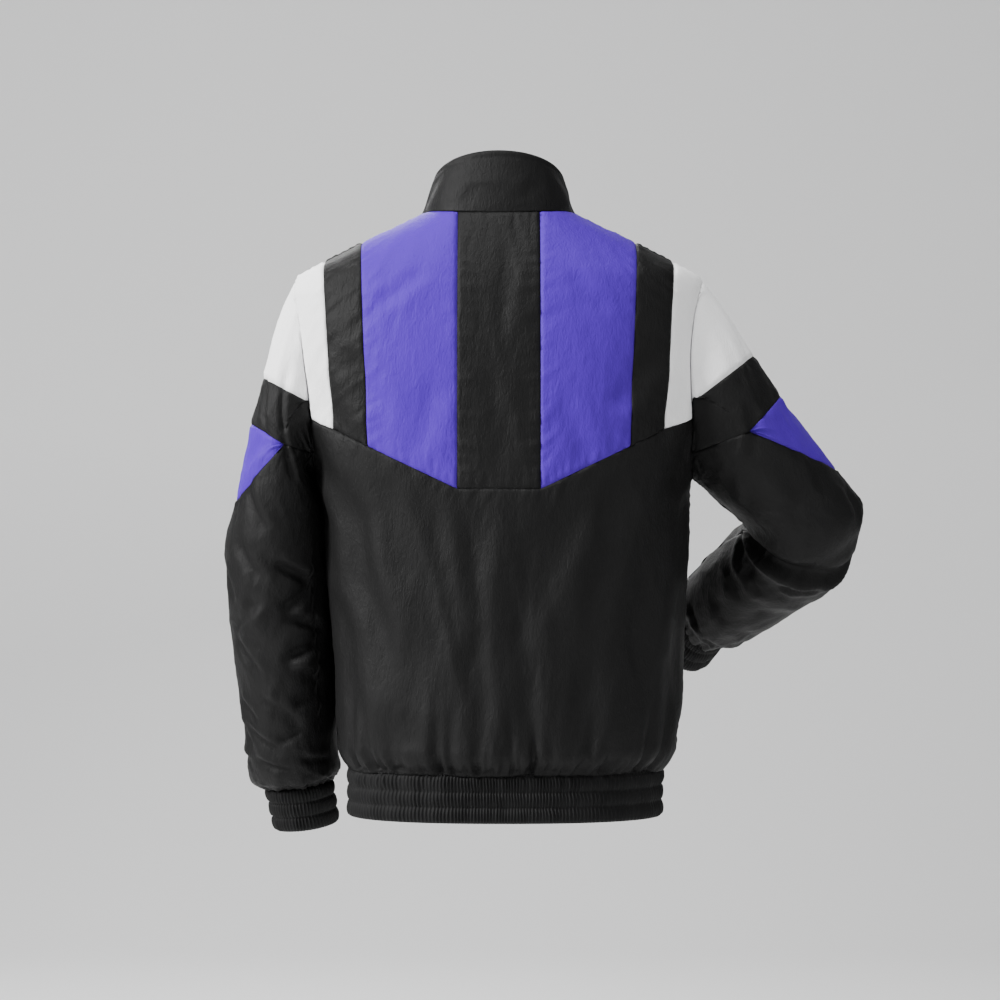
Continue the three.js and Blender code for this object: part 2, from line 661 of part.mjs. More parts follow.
// The armhole from one cap corner over the shoulder to the other, at the body's own stations
const capHead = () => chain(
  armholeRing(-CAP_CORNER_TURN, -SEAM_TURN, CAP_CORNER),
  armholeRing(-SEAM_TURN, SEAM_TURN, 2 * SHOULDER_STEPS),
  armholeRing(SEAM_TURN, CAP_CORNER_TURN, CAP_CORNER),
);

// The cap's lower edge: it leaves the armhole, crosses the outside of the arm and comes back
function capFoot(side) {
  const steps = CAP_CORNER + SHOULDER_STEPS;
  const outer = [0, SLEEVE_PATTERN[side].capEnd];
  return chain(
    straightSleeveSeam(side, [-CAP_END_TURN, 0], outer, steps),
    straightSleeveSeam(side, outer, [CAP_END_TURN, 0], steps),
  );
}

// A seam line whose two ends stop just short of the points where it meets its neighbour
const BLUNT = { kite: 0.12, band: 0.3 };
const bluntEnds = (edge, share) => {
  const ends = edge.map((place) => [...place]);
  const last = edge.length - 1;
  for (const axis of [0, 1]) {
    ends[0][axis] += (edge[1][axis] - edge[0][axis]) * share;
    ends[last][axis] += (edge[last - 1][axis] - edge[last][axis]) * share;
  }
  return ends;
};

// The wall's inner edge stands back where two pieces meet at an angle, as a folded seam does
const INNER_TRIM = { cap: 1.8, panel: 0.8, seam: 0.4, underarm: 1.3, armpit: 2.6, cuff: 0.9 };

function sleeve(side) {
  const pattern = SLEEVE_PATTERN[side];
  const last = sleeveEnds[side];
  const surface = (turn, station) => sleevePoint(side, turn, station);
  const options = (trim) => ({ steps: [0.2, 0.01], flip: -side, trim });
  const capTrim = (j) => (j === 0 ? INNER_TRIM.cap : INNER_TRIM.seam);
  const bandTrim = (j) => (j === 0 ? INNER_TRIM.underarm : INNER_TRIM.seam);
  const lowerTrims = { 0: INNER_TRIM.armpit, [LOWER_SLEEVE_ROWS]: INNER_TRIM.cuff };
  const lowerTrim = (j) => lowerTrims[j] ?? INNER_TRIM.seam;
  const kite = {
    top: [0, pattern.kiteTop],
    back: [pattern.kiteTurn, pattern.kitePoint],
    foot: [0, pattern.kiteFoot],
    front: [-pattern.kiteTurn, pattern.kitePoint],
  };
  const kiteSeam = (corner) => [
    straightSleeveSeam(side, kite.front, corner, 6), straightSleeveSeam(side, corner, kite.back, 6)];
  const kiteHead = kiteSeam(kite.top);
  const kiteFoot = kiteSeam(kite.foot);
  const capGrid = blended(capHead(), capFoot(side),
    armholeRing(-CAP_CORNER_TURN, -CAP_END_TURN, CAP_SIDE),
    armholeRing(CAP_CORNER_TURN, CAP_END_TURN, CAP_SIDE));
  const lowSteps = PANEL_STEPS - CAP_CORNER - CAP_SIDE;
  const bandHead = chain(
    armholeRing(-BAND_END_TURN, -CHEVRON_TURN, BAND_UNDER_STEPS),
    armholeRing(-CHEVRON_TURN, -CAP_END_TURN, lowSteps),
    capFoot(side),
    armholeRing(CAP_END_TURN, CHEVRON_TURN, lowSteps),
    armholeRing(CHEVRON_TURN, BAND_END_TURN, BAND_UNDER_STEPS),
  );
  const flank = (bandHead.length - 1 - 12) / 2;
  const bandFoot = chain(
    straightSleeveSeam(side, [-BAND_END_TURN, 0], kite.front, flank),
    ...kiteHead,
    straightSleeveSeam(side, kite.back, [BAND_END_TURN, 0], flank),
  );
  const lowerHeadEdge = chain(
    armholeRing(-180, -BAND_END_TURN, UNDERARM_STEPS - BAND_UNDER_STEPS),
    straightSleeveSeam(side, [-BAND_END_TURN, 0], kite.front, flank),
    ...kiteFoot,
    straightSleeveSeam(side, kite.back, [BAND_END_TURN, 0], flank),
    armholeRing(BAND_END_TURN, 180, UNDERARM_STEPS - BAND_UNDER_STEPS),
  );
  const kiteGrid = ruled(
    bluntEnds(chain(...kiteHead), BLUNT.kite), bluntEnds(chain(...kiteFoot), BLUNT.kite), 6);
  const cuffEdge = spaced(-180, 180, lowerHeadEdge.length - 1).map((turn) => [turn, last]);
  const name = (piece) => `sleeve_${piece}_${sideName(side)}`;
  return [
    clothPanel(name('cap'), 'white', surface, capGrid, options(capTrim)),
    clothPanel(name('band'), 'black', surface,
      ruled(bluntEnds(bandHead, BLUNT.band), bluntEnds(bandFoot, BLUNT.band), 5), options(bandTrim)),
    clothPanel(name('kite'), 'purple', surface, kiteGrid, options(() => INNER_TRIM.seam)),
    clothPanel(name('lower'), 'black', surface,
      ruled(lowerHeadEdge, cuffEdge, LOWER_SLEEVE_ROWS), options(lowerTrim)),
  ];
}

// Cuffs: an elastic band from the sleeve's last station along the arm
const CUFF_LENGTH = 52;
const CUFF_DIRECTION = {
  1: new THREE.Vector3(-0.16, -0.2, -0.97).normalize(),
  '-1': new THREE.Vector3(0.42, -0.62, -0.66).normalize(),
};

function cuff(side) {
  const last = sleeveEnds[side];
  const middle = sleeveOval(side, 0, last).add(sleeveOval(side, 180, last)).multiplyScalar(0.5);
  const surface = (turn, along) => {
    const seam = sleevePoint(side, turn, last);
    const away = seam.clone().sub(middle).normalize();
    const swell = BAND_SWELL * 0.8 * Math.abs(Math.sin((Math.PI * BAND_ROWS * along) / CUFF_LENGTH));
    return seam.addScaledVector(away, swell - 0.03 * along)
      .addScaledVector(CUFF_DIRECTION[side], along);
  };
  const grid = spaced(0, CUFF_LENGTH, BAND_STEPS).map((along) => (
    spaced(-180, 180, 2 * CUFF_RIBS).map((turn) => [turn, along])));
  const raise = (j, i) => (i % 2 === 0 ? 0 : RIB_DEPTH);
  return clothPanel(`cuff_${sideName(side)}`, 'ribbed', surface, grid,
    { wall: BAND_WALL, steps: [0.2, 0.05], flip: -side, raise,
      trim: (j) => (j === 0 ? INNER_TRIM.cuff : 0) });
}

// The closed front zip: two tapes behind the front edges, a slider at the collar and its pull tab
const TAPE = { width: 14, thickness: 1, behind: 2.4, neckRows: 4, chestRows: 10 };
const SLIDER = { z: 4, width: 9, height: 13, thickness: 3.2, clearance: 0.3, corner: 2 };
const LUG = { inner: 2.2, outer: 3.4, halfHeight: 2, tip: 1.6 };
const PIN = { radius: 0.8, standoff: 3, sides: 16 };
const PULL = { barrel: 2.2, bore: 1.1, neckWidth: 3.8, neckEnd: 5, width: 7, length: 28, thickness: 1.6 };
const collarFrontTop = COLLAR_SIDE_HEIGHT - (COLLAR_BACK_HEIGHT - COLLAR_SIDE_HEIGHT);

// How far forward the outer face lies beside the zip at a height
function frontFace(x, z) {
  if (z > -NECK_FRONT_DROP) {
    const t = (z + NECK_FRONT_DROP) / (collarFrontTop + NECK_FRONT_DROP);
    return collarPoint(180, t).y * Math.sqrt(1 - (x / COLLAR_TOP_HALF_WIDTH) ** 2);
  }
  const angle = angleOf(x, Math.max(z, HEM_SEAM), false);
  return z > HEM_SEAM ? bodyPoint(angle, z).y : hemPoint(angle, z).y;
}

function zipTape(side) {
  const surface = (x, z) => new THREE.Vector3(x, frontFace(x, z) + TAPE.behind, z);
  const heights = chain(
    spaced(collarFrontTop, -NECK_FRONT_DROP, TAPE.neckRows),
    spaced(-NECK_FRONT_DROP, CHEVRON_LOW, TAPE.chestRows),
    LOWER_ROWS.map((v) => CHEVRON_LOW + (HEM_SEAM - CHEVRON_LOW) * v),
    spaced(HEM_SEAM, HEM_BOTTOM, BAND_STEPS),
  );
  const grid = heights.map((z) => [[0, z], [side * TAPE.width, z]]);
  return clothPanel(`zip_tape_${sideName(side)}`, 'tape', surface, grid,
    { wall: TAPE.thickness, flip: 1 });
}

// A closed solid for joining and cutting
function solidOf(geometry) {
  const bare = geometry.clone();
  bare.deleteAttribute('normal');
  bare.deleteAttribute('uv');
  const merged = mergeVertices(bare, 1e-4);
  return new wasm.Manifold(new wasm.Mesh({
    numProp: 3,
    vertProperties: new Float32Array(merged.attributes.position.array),
    triVerts: new Uint32Array(merged.index.array),
  }));
}

function meshOf(name, colour, solid) {
  const { vertProperties, triVerts } = solid.getMesh();
  const geometry = new THREE.BufferGeometry();
  geometry.setAttribute('position', new THREE.Float32BufferAttribute(vertProperties, 3));
  geometry.setIndex(Array.from(triVerts));
  const mesh = new THREE.Mesh(geometry, new THREE.MeshStandardMaterial(COLOURS[colour]));
  mesh.name = name;
  return mesh;
}

// A box between two corners
function block(from, to) {
  const size = to.clone().sub(from);
  const middle = from.clone().add(to).multiplyScalar(0.5);
  return solidOf(new THREE.BoxGeometry(size.x, size.y, size.z).translate(middle.x, middle.y, middle.z));
}

// A round bar along X, centred at y and z
function crossBar(radius, length, y, z) {
  return solidOf(new THREE.CylinderGeometry(radius, radius, length, PIN.sides)
    .rotateZ(Math.PI / 2).translate(0, y, z));
}

// A flat plate facing the front, with rounded corners
function plate(width, height, thickness, corner, y, z) {
  const half = width / 2 - corner;
  const tall = height / 2 - corner;
  const shape = new THREE.Shape();
  shape.absarc(half, tall, corner, 0, Math.PI / 2);
  shape.absarc(-half, tall, corner, Math.PI / 2, Math.PI);
  shape.absarc(-half, -tall, corner, Math.PI, 1.5 * Math.PI);
  shape.absarc(half, -tall, corner, 1.5 * Math.PI, 2 * Math.PI);
  const geometry = new THREE.ExtrudeGeometry(shape, { depth: thickness, bevelEnabled: false,
    curveSegments: 4 });
  return solidOf(geometry.rotateX(Math.PI / 2).translate(0, y, z));
}

const sliderBack = Math.min(...[-0.5, 0, 0.5].map((share) => (
  frontFace(0, SLIDER.z + share * SLIDER.height)))) + TAPE.behind - SLIDER.clearance;
const sliderFront = sliderBack - SLIDER.thickness;
const pinY = sliderFront - PIN.standoff;

function slider() {
  const body = plate(SLIDER.width, SLIDER.height, SLIDER.thickness, SLIDER.corner, sliderBack, SLIDER.z);
  const lug = (side) => block(
    new THREE.Vector3(Math.min(side * LUG.inner, side * LUG.outer), pinY - LUG.tip,
      SLIDER.z - LUG.halfHeight),
    new THREE.Vector3(Math.max(side * LUG.inner, side * LUG.outer), sliderFront + 0.5,
      SLIDER.z + LUG.halfHeight));
  const pin = crossBar(PIN.radius, LUG.inner + LUG.outer, pinY, SLIDER.z);
  return meshOf('zip_slider', 'metal', body.add(lug(1)).add(lug(-1)).add(pin));
}

function pullTab() {
  const half = PULL.thickness / 2;
  const barrel = crossBar(PULL.barrel, PULL.neckWidth, pinY, SLIDER.z);
  const neck = block(
    new THREE.Vector3(-PULL.neckWidth / 2, pinY - half, SLIDER.z - PULL.neckEnd - 1),
    new THREE.Vector3(PULL.neckWidth / 2, pinY + half, SLIDER.z));
  const gripHeight = PULL.length - PULL.neckEnd;
  const grip = plate(PULL.width, gripHeight, PULL.thickness, SLIDER.corner,
    pinY + half, SLIDER.z - PULL.neckEnd - gripHeight / 2);
  const bore = crossBar(PULL.bore, PULL.width, pinY, SLIDER.z);
  return meshOf('zip_pull_tab', 'metal', barrel.add(neck).add(grip).subtract(bore));
}

const jacket = new THREE.Group();
jacket.add(backCentre(), lowerBack(), collar(), hemBand(), slider(), pullTab());
for (const side of [1, -1]) {
  jacket.add(...upperPanels(side, true), ...upperPanels(side, false));
  jacket.add(frontCentre(side), lowerFront(side));
  jacket.add(...sleeve(side), cuff(side), zipTape(side));
}

export default jacket;
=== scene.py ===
# %% [markdown]
# # A windbreaker jacket in thin crinkled nylon
# Every piece of cloth here is a surface worked out with numpy: a function of two parameters gives
# the worn shape, a second one adds creases, and a thin wall turns it into a panel.
# Sizes in this file are millimetres until a mesh is made, and metres after that.

import math

import bpy
import numpy as np
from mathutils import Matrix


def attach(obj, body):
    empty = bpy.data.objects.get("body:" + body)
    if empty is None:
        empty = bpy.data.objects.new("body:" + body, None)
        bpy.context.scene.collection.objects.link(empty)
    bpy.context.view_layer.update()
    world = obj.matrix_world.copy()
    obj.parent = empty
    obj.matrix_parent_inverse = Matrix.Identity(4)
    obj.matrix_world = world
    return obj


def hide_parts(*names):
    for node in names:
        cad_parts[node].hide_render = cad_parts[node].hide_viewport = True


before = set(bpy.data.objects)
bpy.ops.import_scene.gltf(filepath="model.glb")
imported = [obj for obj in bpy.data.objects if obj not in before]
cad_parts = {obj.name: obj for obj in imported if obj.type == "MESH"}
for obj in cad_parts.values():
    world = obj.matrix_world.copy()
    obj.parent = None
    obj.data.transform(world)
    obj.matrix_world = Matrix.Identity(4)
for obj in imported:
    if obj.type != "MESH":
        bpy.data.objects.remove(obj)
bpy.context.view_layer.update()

# %% [markdown]
# ## Driving sizes
# A few sizes give the cut: the neckline, the armholes, the hem and the lines of the colour blocks.
# The body is a stack of ovals, and each sleeve is a row of ovals between its outer and inner edge.
# They are short tables, one row for a section, read with a smooth curve between the rows.

# %% Sizes of the cut
MM = 0.001
OVAL_POWER = 2.35
NECK_SIDE_RISE, NECK_FRONT_DROP = 5, 55
COLLAR_BACK_HEIGHT, COLLAR_SIDE_HEIGHT, COLLAR_BOW = 71, 42, 1.5
COLLAR_TOP_HALF_WIDTH, COLLAR_TOP_BACK, COLLAR_TOP_FRONT = 75, 66, 92
SHOULDER_SEAM_ANGLE = 81
ARMHOLE_TOP, ARMPIT, ARMHOLE_SPREAD = -75, -301, 15
HEM_SEAM, HEM_BOTTOM = -643, -697
FRONT_EDGE, STRIPE_INNER = 6, 47.3
STRIPE_OUTER_TOP, STRIPE_OUTER_BOTTOM = 159, 149
WHITE_EDGE_TOP, WHITE_EDGE_BOTTOM = 202.5, 191
CHEVRON_LOW, CHEVRON_SLOPE = -318, 0.475
SEAM_TURN, CHEVRON_TURN = 10, 116
RIDGE_END_ANGLE, RIDGE_STEPS = 102, 12
SEARCH_BELOW, HALVINGS, NECK_ROUNDS = 12, 40, 30
GRID_STEP = 3.2
CLOTH_WALL = 0.7
BAND_WALL = 1.4

TORSO_COLUMNS = ("z", "half_width", "centre_x", "back", "front")
TORSO_ROWS = (
    (9, 78, 0, 70, 72),
    (0, 95, 0, 78, 82),
    (-31, 160, 0, 93, 92),
    (-54, 204, 0, 103, 97),
    (-73, 236, 0, 110, 106),
    (-95, 243, 3, 116, 115),
    (-145, 242, 3, 125, 128),
    (-237, 233, -3, 132, 137),
    (-301, 219, -5, 134, 140),
    (-356, 210.7, -10, 135, 141),
    (-424, 208, -11, 136, 141),
    (-518, 202, -12.6, 136, 140),
    (-574, 198.5, -11.8, 136, 139),
    (-612, 195, -10, 134, 137),
    (-631, 189, -8.5, 128, 131),
    (-643, 182, -7, 119, 122),
)
SLEEVE_COLUMNS = ("outer_x", "outer_z", "inner_x", "inner_z", "y", "depth")
SLEEVE_ROWS = {
    "left": (
        (236, -75, 214, -301, 0, 60),
        (254, -108, 214, -303, 0, 66),
        (274, -189, 213, -311, -2, 70),
        (287, -240, 211.5, -323.6, -4, 71),
        (300, -295, 209, -340, -6, 71),
        (308.5, -331, 207, -359, -9, 70),
        (321, -387, 203, -396, -14, 69),
        (320, -425, 201.5, -430, -18, 68),
        (317, -466, 199, -472, -24, 67),
        (312, -508, 197, -515, -30, 65),
        (303, -584, 195, -594, -44, 61),
        (296.3, -645, 191, -640, -54, 55),
        (290, -663, 194, -652, -57, 49),
        (276, -672, 199.4, -662.3, -58, 41),
    ),
    "right": (
        (-236, -75, -224, -301, 0, 60),
        (-260, -104, -226, -303, 0, 66),
        (-297, -162, -231, -308, -2, 70),
        (-327, -207, -238, -314, -5, 71),
        (-360, -250, -247, -323, -8, 71),
        (-395, -293, -267, -340, -14, 70),
        (-413, -314, -281, -351, -18, 69),
        (-428, -338, -291, -360, -24, 68),
        (-424, -368, -292, -366, -34, 67),
        (-416, -398, -288, -370, -48, 66),
        (-402, -424, -280, -375, -66, 64),
        (-377, -447, -266, -386, -92, 61),
        (-331, -482, -246, -408, -132, 57),
        (-298, -503, -232, -429, -160, 52),
        (-287, -506, -229, -442, -168, 47),
        (-279, -501, -233, -454, -172, 40),
    ),
}
SIDES = {"left": 1, "right": -1}


# %% Reading a table smoothly
def smooth_table(keys, values):
    """A curve through the rows: cubic pieces with harmonic-mean slopes, so it never overshoots."""
    keys, values = np.asarray(keys, float), np.asarray(values, float)
    if keys[0] > keys[-1]:
        keys, values = keys[::-1], values[::-1]
    rise = np.diff(values) / np.diff(keys)
    slopes = np.concatenate([rise[:1], np.zeros(len(rise) - 1), rise[-1:]])
    same = rise[:-1] * rise[1:] > 0
    inner = np.where(same, 2 * rise[:-1] * rise[1:] / np.where(same, rise[:-1] + rise[1:], 1), 0)
    slopes[1:-1] = inner

    def read(x):
        """The cubic piece that holds x, carried on straight past the ends."""
        x = np.asarray(x, float)
        i = np.clip(np.searchsorted(keys, x) - 1, 0, len(keys) - 2)
        span = keys[i + 1] - keys[i]
        t = (x - keys[i]) / span
        a, b = slopes[i] * span, slopes[i + 1] * span
        change = values[i + 1] - values[i]
        curve = values[i] + t * (a + t * (3 * change - 2 * a - b + t * (a + b - 2 * change)))
        before, after = values[i] + a * t, values[i + 1] + b * (t - 1)
        return np.where(t < 0, before, np.where(t > 1, after, curve))

    return read


def table_reader(columns, rows, key=None):
    """One reader for each column, against the key column or the row's number."""
    rows = np.asarray(rows, float)
    keys = rows[:, columns.index(key)] if key else np.arange(len(rows))
    return {name: smooth_table(keys, rows[:, i]) for i, name in enumerate(columns)}


torso = table_reader(TORSO_COLUMNS, TORSO_ROWS, "z")
sleeve_tables = {side: table_reader(SLEEVE_COLUMNS, rows) for side, rows in SLEEVE_ROWS.items()}
stations = {side: len(rows) for side, rows in SLEEVE_ROWS.items()}
print("torso sections", len(TORSO_ROWS), "sleeve stations", stations)

# %% [markdown]
# ## The body as one surface
# A point of the jacket's body is found from an angle round it, 0 at the back's centre, and a height.
# Every panel of the body is a patch of this one surface, so neighbours meet exactly at their seams.
# Long soft folds are sunk into the surface itself, because they run on from panel to panel.

# %% Body surface
# angle_top, z_top, angle_end, z_end, depth, width
BODY_FOLDS = (
    (22, -330, 9, -600, 3.2, 5.5),
    (-21, -335, -8, -610, 2.8, 5),
    (44, -300, 27, -590, 3.5, 6),
    (-46, -290, -30, -600, 3.2, 6.5),
    (68, -290, 52, -560, 4, 6),
    (-70, -300, -55, -585, 3.6, 6),
    (150, -330, 158, -600, 3, 6),
    (-148, -320, -157, -590, 3.2, 6),
    (118, -290, 130, -570, 3.6, 6),
    (-120, -300, -131, -590, 3.4, 6),
)


def ramp(x):
    """A smooth step: 0 below 0, 1 above 1, and 3t^2 - 2t^3 between."""
    t = np.clip(x, 0, 1)
    return t * t * (3 - 2 * t)


def bell(x):
    """A bell curve, exp(-x^2)."""
    return np.exp(-x * x)


def paired(first, second):
    """Two numbers or arrays as arrays of one shape."""
    return np.broadcast_arrays(np.asarray(first, float), np.asarray(second, float))


def unit(vectors):
    """Vectors made one long."""
    return vectors / np.maximum(np.linalg.norm(vectors, axis=-1, keepdims=True), 1e-9)


def grid_of(columns, lines):
    """A grid of places from its columns and its lines."""
    return np.stack(np.meshgrid(columns, lines), axis=-1)


def body_fold(angle, z):
    """The sum of soft troughs: each is a bell across a straight line, fading at the line's ends."""
    sunk = np.zeros(np.broadcast(angle, z).shape)
    for angle_top, z_top, angle_end, z_end, depth, width in BODY_FOLDS:
        along = (z - z_top) / (z_end - z_top)
        middle = angle_top + (angle_end - angle_top) * along
        fade = ramp(along * 4 + 0.2) * ramp((1 - along) * 4 + 0.2)
        sunk += depth * fade * bell((angle - middle) / width)
    return sunk


def body_point(angle, z):
    """A superellipse at height z: radius (|sin/width|^n + |cos/depth|^n)^(-1/n), less the folds."""
    angle, z = paired(angle, z)
    sine, cosine = np.sin(np.radians(angle)), np.cos(np.radians(angle))
    depth = np.where(cosine >= 0, torso["back"](z), torso["front"](z))
    across = np.abs(sine / torso["half_width"](z)) ** OVAL_POWER
    radius = (across + np.abs(cosine / depth) ** OVAL_POWER) ** (-1 / OVAL_POWER)
    radius = radius - body_fold(angle, z)
    return np.stack([torso["centre_x"](z) + radius * sine, radius * cosine, z], axis=-1)


def angle_of(x, z, is_back):
    """The angle at which the oval at height z has sideways distance x, on its back or its front."""
    x, z = paired(x, z)
    across = x - torso["centre_x"](z)
    share = np.minimum(1, np.abs(across) / torso["half_width"](z))
    depth = torso["back"](z) if is_back else -torso["front"](z)
    y = depth * (1 - share**OVAL_POWER) ** (1 / OVAL_POWER)
    angle = np.degrees(np.arctan2(across, y))
    return angle if is_back else np.where(across * x >= 0, angle, angle + 360 * np.sign(x))


def neckline(angle):
    """Its height round the neck: a little up towards the sides, then down to the front."""
    cosine = np.cos(np.radians(angle))
    back = NECK_SIDE_RISE * (1 - cosine**2)
    front = NECK_SIDE_RISE - (NECK_SIDE_RISE + NECK_FRONT_DROP) * np.abs(cosine) ** 1.6
    return np.where(cosine >= 0, back, front)


def armhole(side, turn):
    """The armhole as angle and height: turn 0 is its top, 90 its back, 180 the armpit."""
    sine = np.sin(np.radians(turn))
    lean = ARMHOLE_SPREAD * np.sign(sine) * np.abs(sine) ** 0.8
    middle, half = (ARMHOLE_TOP + ARMPIT) / 2, (ARMHOLE_TOP - ARMPIT) / 2
    return np.stack([side * (90 - lean), middle + half * np.cos(np.radians(turn))], axis=-1)


print("armpit height", armhole(1, 180.0)[1], "neck at the front", float(neckline(180)))

# %% [markdown]
# ## Seams as lists of places
# A seam is a row of places, each an angle and a height. Straight lines of the pattern are straight
# as seen from the front or the back. How many places a seam has comes from its length, so that all
# the grids have faces of about the same size.


# %% Seam helpers
def line(start, end, steps):
    """Evenly spaced places from start to end."""
    t = np.linspace(0, 1, steps + 1)[:, None]
    return np.asarray(start, float) * (1 - t) + np.asarray(end, float) * t


def chain(*parts):
    """Seams joined end to end, each shared place kept once."""
    return np.concatenate([parts[0]] + [part[1:] for part in parts[1:]])


def straight_seam(start, end, steps, is_back):
    """A line that is straight in x and z, laid on the back or the front of the body."""
    places = line(start, end, steps)
    return np.stack([angle_of(places[:, 0], places[:, 1], is_back), places[:, 1]], axis=-1)


def neck_edge(start, end, steps):
    """A stretch of the neckline between two angles."""
    angles = np.linspace(start, end, steps + 1)
    return np.stack([angles, neckline(angles)], axis=-1)


def armhole_edge(side, start, end, steps):
    """A stretch of the armhole between two turns."""
    return armhole(side, np.linspace(start, end, steps + 1))


def seam_angle(side, z):
    """The shoulder seam's angle: it runs evenly from the neck to just behind the armhole's top."""
    end_angle, end_z = armhole(side, SEAM_TURN)
    start = neckline(SHOULDER_SEAM_ANGLE)
    first = side * SHOULDER_SEAM_ANGLE
    return first + (end_angle - first) * (z - start) / (end_z - start)


def shoulder_height(x, side, angle_at):
    """The height where a line over the shoulder reaches distance x, found by halving."""
    high, low = float(neckline(SHOULDER_SEAM_ANGLE)), ARMHOLE_TOP - SEARCH_BELOW
    for _ in range(HALVINGS):
        middle = (high + low) / 2
        if side * body_point(angle_at(middle), middle)[0] < x:
            high = middle
        else:
            low = middle
    return (high + low) / 2


def neck_corner(x, is_back):
    """Where a line at sideways distance x meets the neckline."""
    z = 0.0
    for _ in range(NECK_ROUNDS):
        z = float(neckline(angle_of(x, z, is_back)))
    return x, z


def front_seam(x, seam_z, foot, side, steps):
    """A front seam from the shoulder seam over the ridge at one distance x, then straight down."""
    seam_start = float(seam_angle(side, seam_z))
    angles = np.linspace(abs(seam_start), RIDGE_END_ANGLE, RIDGE_STEPS + 1)[1:]
    ridge = [(side * a, shoulder_height(x, side, lambda z, a=a: side * a)) for a in angles]
    over = np.array([(seam_start, seam_z)] + ridge)
    return chain(over, straight_seam((side * x, ridge[-1][1]), foot, steps - len(ridge), False))


def blended(top, bottom, left, right):
    """A grid over four edges: the two straight blends added, less the blend of the corners."""
    u = np.linspace(0, 1, len(top))[None, :, None]
    v = np.linspace(0, 1, len(left))[:, None, None]
    top, bottom = np.asarray(top)[None], np.asarray(bottom)[None]
    left, right = np.asarray(left)[:, None], np.asarray(right)[:, None]
    corners = (1 - u) * (1 - v) * top[:, :1] + u * (1 - v) * top[:, -1:]
    corners = corners + (1 - u) * v * bottom[:, :1] + u * v * bottom[:, -1:]
    return (1 - v) * top + v * bottom + (1 - u) * left + u * right - corners


def body_grid(top, bottom, left, right):
    """A grid blended in space and laid back on the body, its edges kept as they are."""
    edges = (top, bottom, left, right)
    space = blended(*(body_point(edge[:, 0], edge[:, 1]) for edge in edges))
    x, y, z = np.moveaxis(space, -1, 0)
    angle = np.degrees(np.arctan2(x - torso["centre_x"](z), y))
    angle = angle + 360 * np.round((left[:, :1] - angle) / 360)
    grid = np.stack([angle, z], axis=-1)
    grid[0], grid[-1], grid[:, 0], grid[:, -1] = top, bottom, left, right
    return grid


print("stripe corner on the neckline", neck_corner(STRIPE_INNER, True))

# %% [markdown]
# ## Crinkled nylon
# Thin nylon never lies smooth. It has long shallow buckles, short sharp creases where it bends, and
# a fine crumple all over. The creases that show are placed one by one in tables, uneven in length
# and depth. The crumple under them is smooth noise: random values on a lattice, blended between.

# %% Noise and creases
NOISE_SIZE = 128
CREASE_WANDER, CREASE_FADE = 0.35, 3.2
RIDGE_HEIGHT, RIDGE_OFFSET, RIDGE_WIDTH = 0.55, 1.7, 0.9
lattice = np.random.default_rng(7).uniform(-1, 1, (NOISE_SIZE, NOISE_SIZE))


def noise(x, y):
    """Smooth noise from -1 to 1: lattice values blended by the smooth step in both directions."""
    i, j = np.floor(x).astype(int), np.floor(y).astype(int)
    s, t = ramp(x - i), ramp(y - j)
    i, j, i2, j2 = i % NOISE_SIZE, j % NOISE_SIZE, (i + 1) % NOISE_SIZE, (j + 1) % NOISE_SIZE
    low = lattice[i, j] * (1 - s) + lattice[i2, j] * s
    high = lattice[i, j2] * (1 - s) + lattice[i2, j2] * s
    return low * (1 - t) + high * t


def buckles(x, y, shift=0.0):
    """Ridged noise: soft ridges with sharper valleys, as buckled thin cloth has."""
    return 1 - 2 * np.abs(noise(x + shift, y + 1.7 * shift))


def creases(rows, x, y):
    """Straight creases from place to place: a trough with a lower ridge on its one side."""
    total = np.zeros(np.broadcast(x, y).shape)
    for x0, y0, x1, y1, depth, width in rows:
        run = np.array([x1 - x0, y1 - y0], float)
        length = np.hypot(*run)
        run = run / length
        along = ((x - x0) * run[0] + (y - y0) * run[1]) / length
        across = (x - x0) * run[1] - (y - y0) * run[0]
        across = across + CREASE_WANDER * width * noise(along * 3 + x0 * 0.11, y0 * 0.07 + along * 0)
        fade = ramp(along * CREASE_FADE + 0.1) * ramp((1 - along) * CREASE_FADE + 0.1)
        ridge = bell((across - RIDGE_OFFSET * width) / (RIDGE_WIDTH * width))
        total -= depth * fade * (bell(across / width) - RIDGE_HEIGHT * ridge)
    return total


# %% [markdown]
# ## From a grid to a panel
# A panel is a grid of places. Its outer face is the surface, moved along its own normal by the
# relief, and the inner face lies one wall further in. Near its edges the cloth dips into the seam,
# and puckers along it, because the thread pulls the seam shorter than the cloth.

# %% Panel mesh
SEAM_DIP, SEAM_DIP_WIDTH = 0.9, 2.6
PUCKER_DEPTH, PUCKER_REACH, PUCKER_PITCH = 2.1, 11.0, 5.0
SEAM_GAP = 0.02
ALL_EDGES = ("left", "right", "top", "bottom")
sheets = []


def outward(surface, a, b, step_a, step_b, flip):
    """The normal: the cross product of the surface's two small steps, made one long."""
    along_a = surface(a + step_a, b) - surface(a - step_a, b)
    along_b = surface(a, b + step_b) - surface(a, b - step_b)
    return unit(np.cross(along_a, along_b) * flip)


def edge_distances(points):
    """Arc length across the grid: the distance of each point to the grid's four edges."""
    across = np.linalg.norm(np.diff(points, axis=1), axis=-1)
    down = np.linalg.norm(np.diff(points, axis=0), axis=-1)
    u = np.concatenate([np.zeros((len(points), 1)), np.cumsum(across, axis=1)], axis=1)
    v = np.concatenate([np.zeros((1, points.shape[1])), np.cumsum(down, axis=0)], axis=0)
    return u, u[:, -1:] - u, v, v[-1:] - v


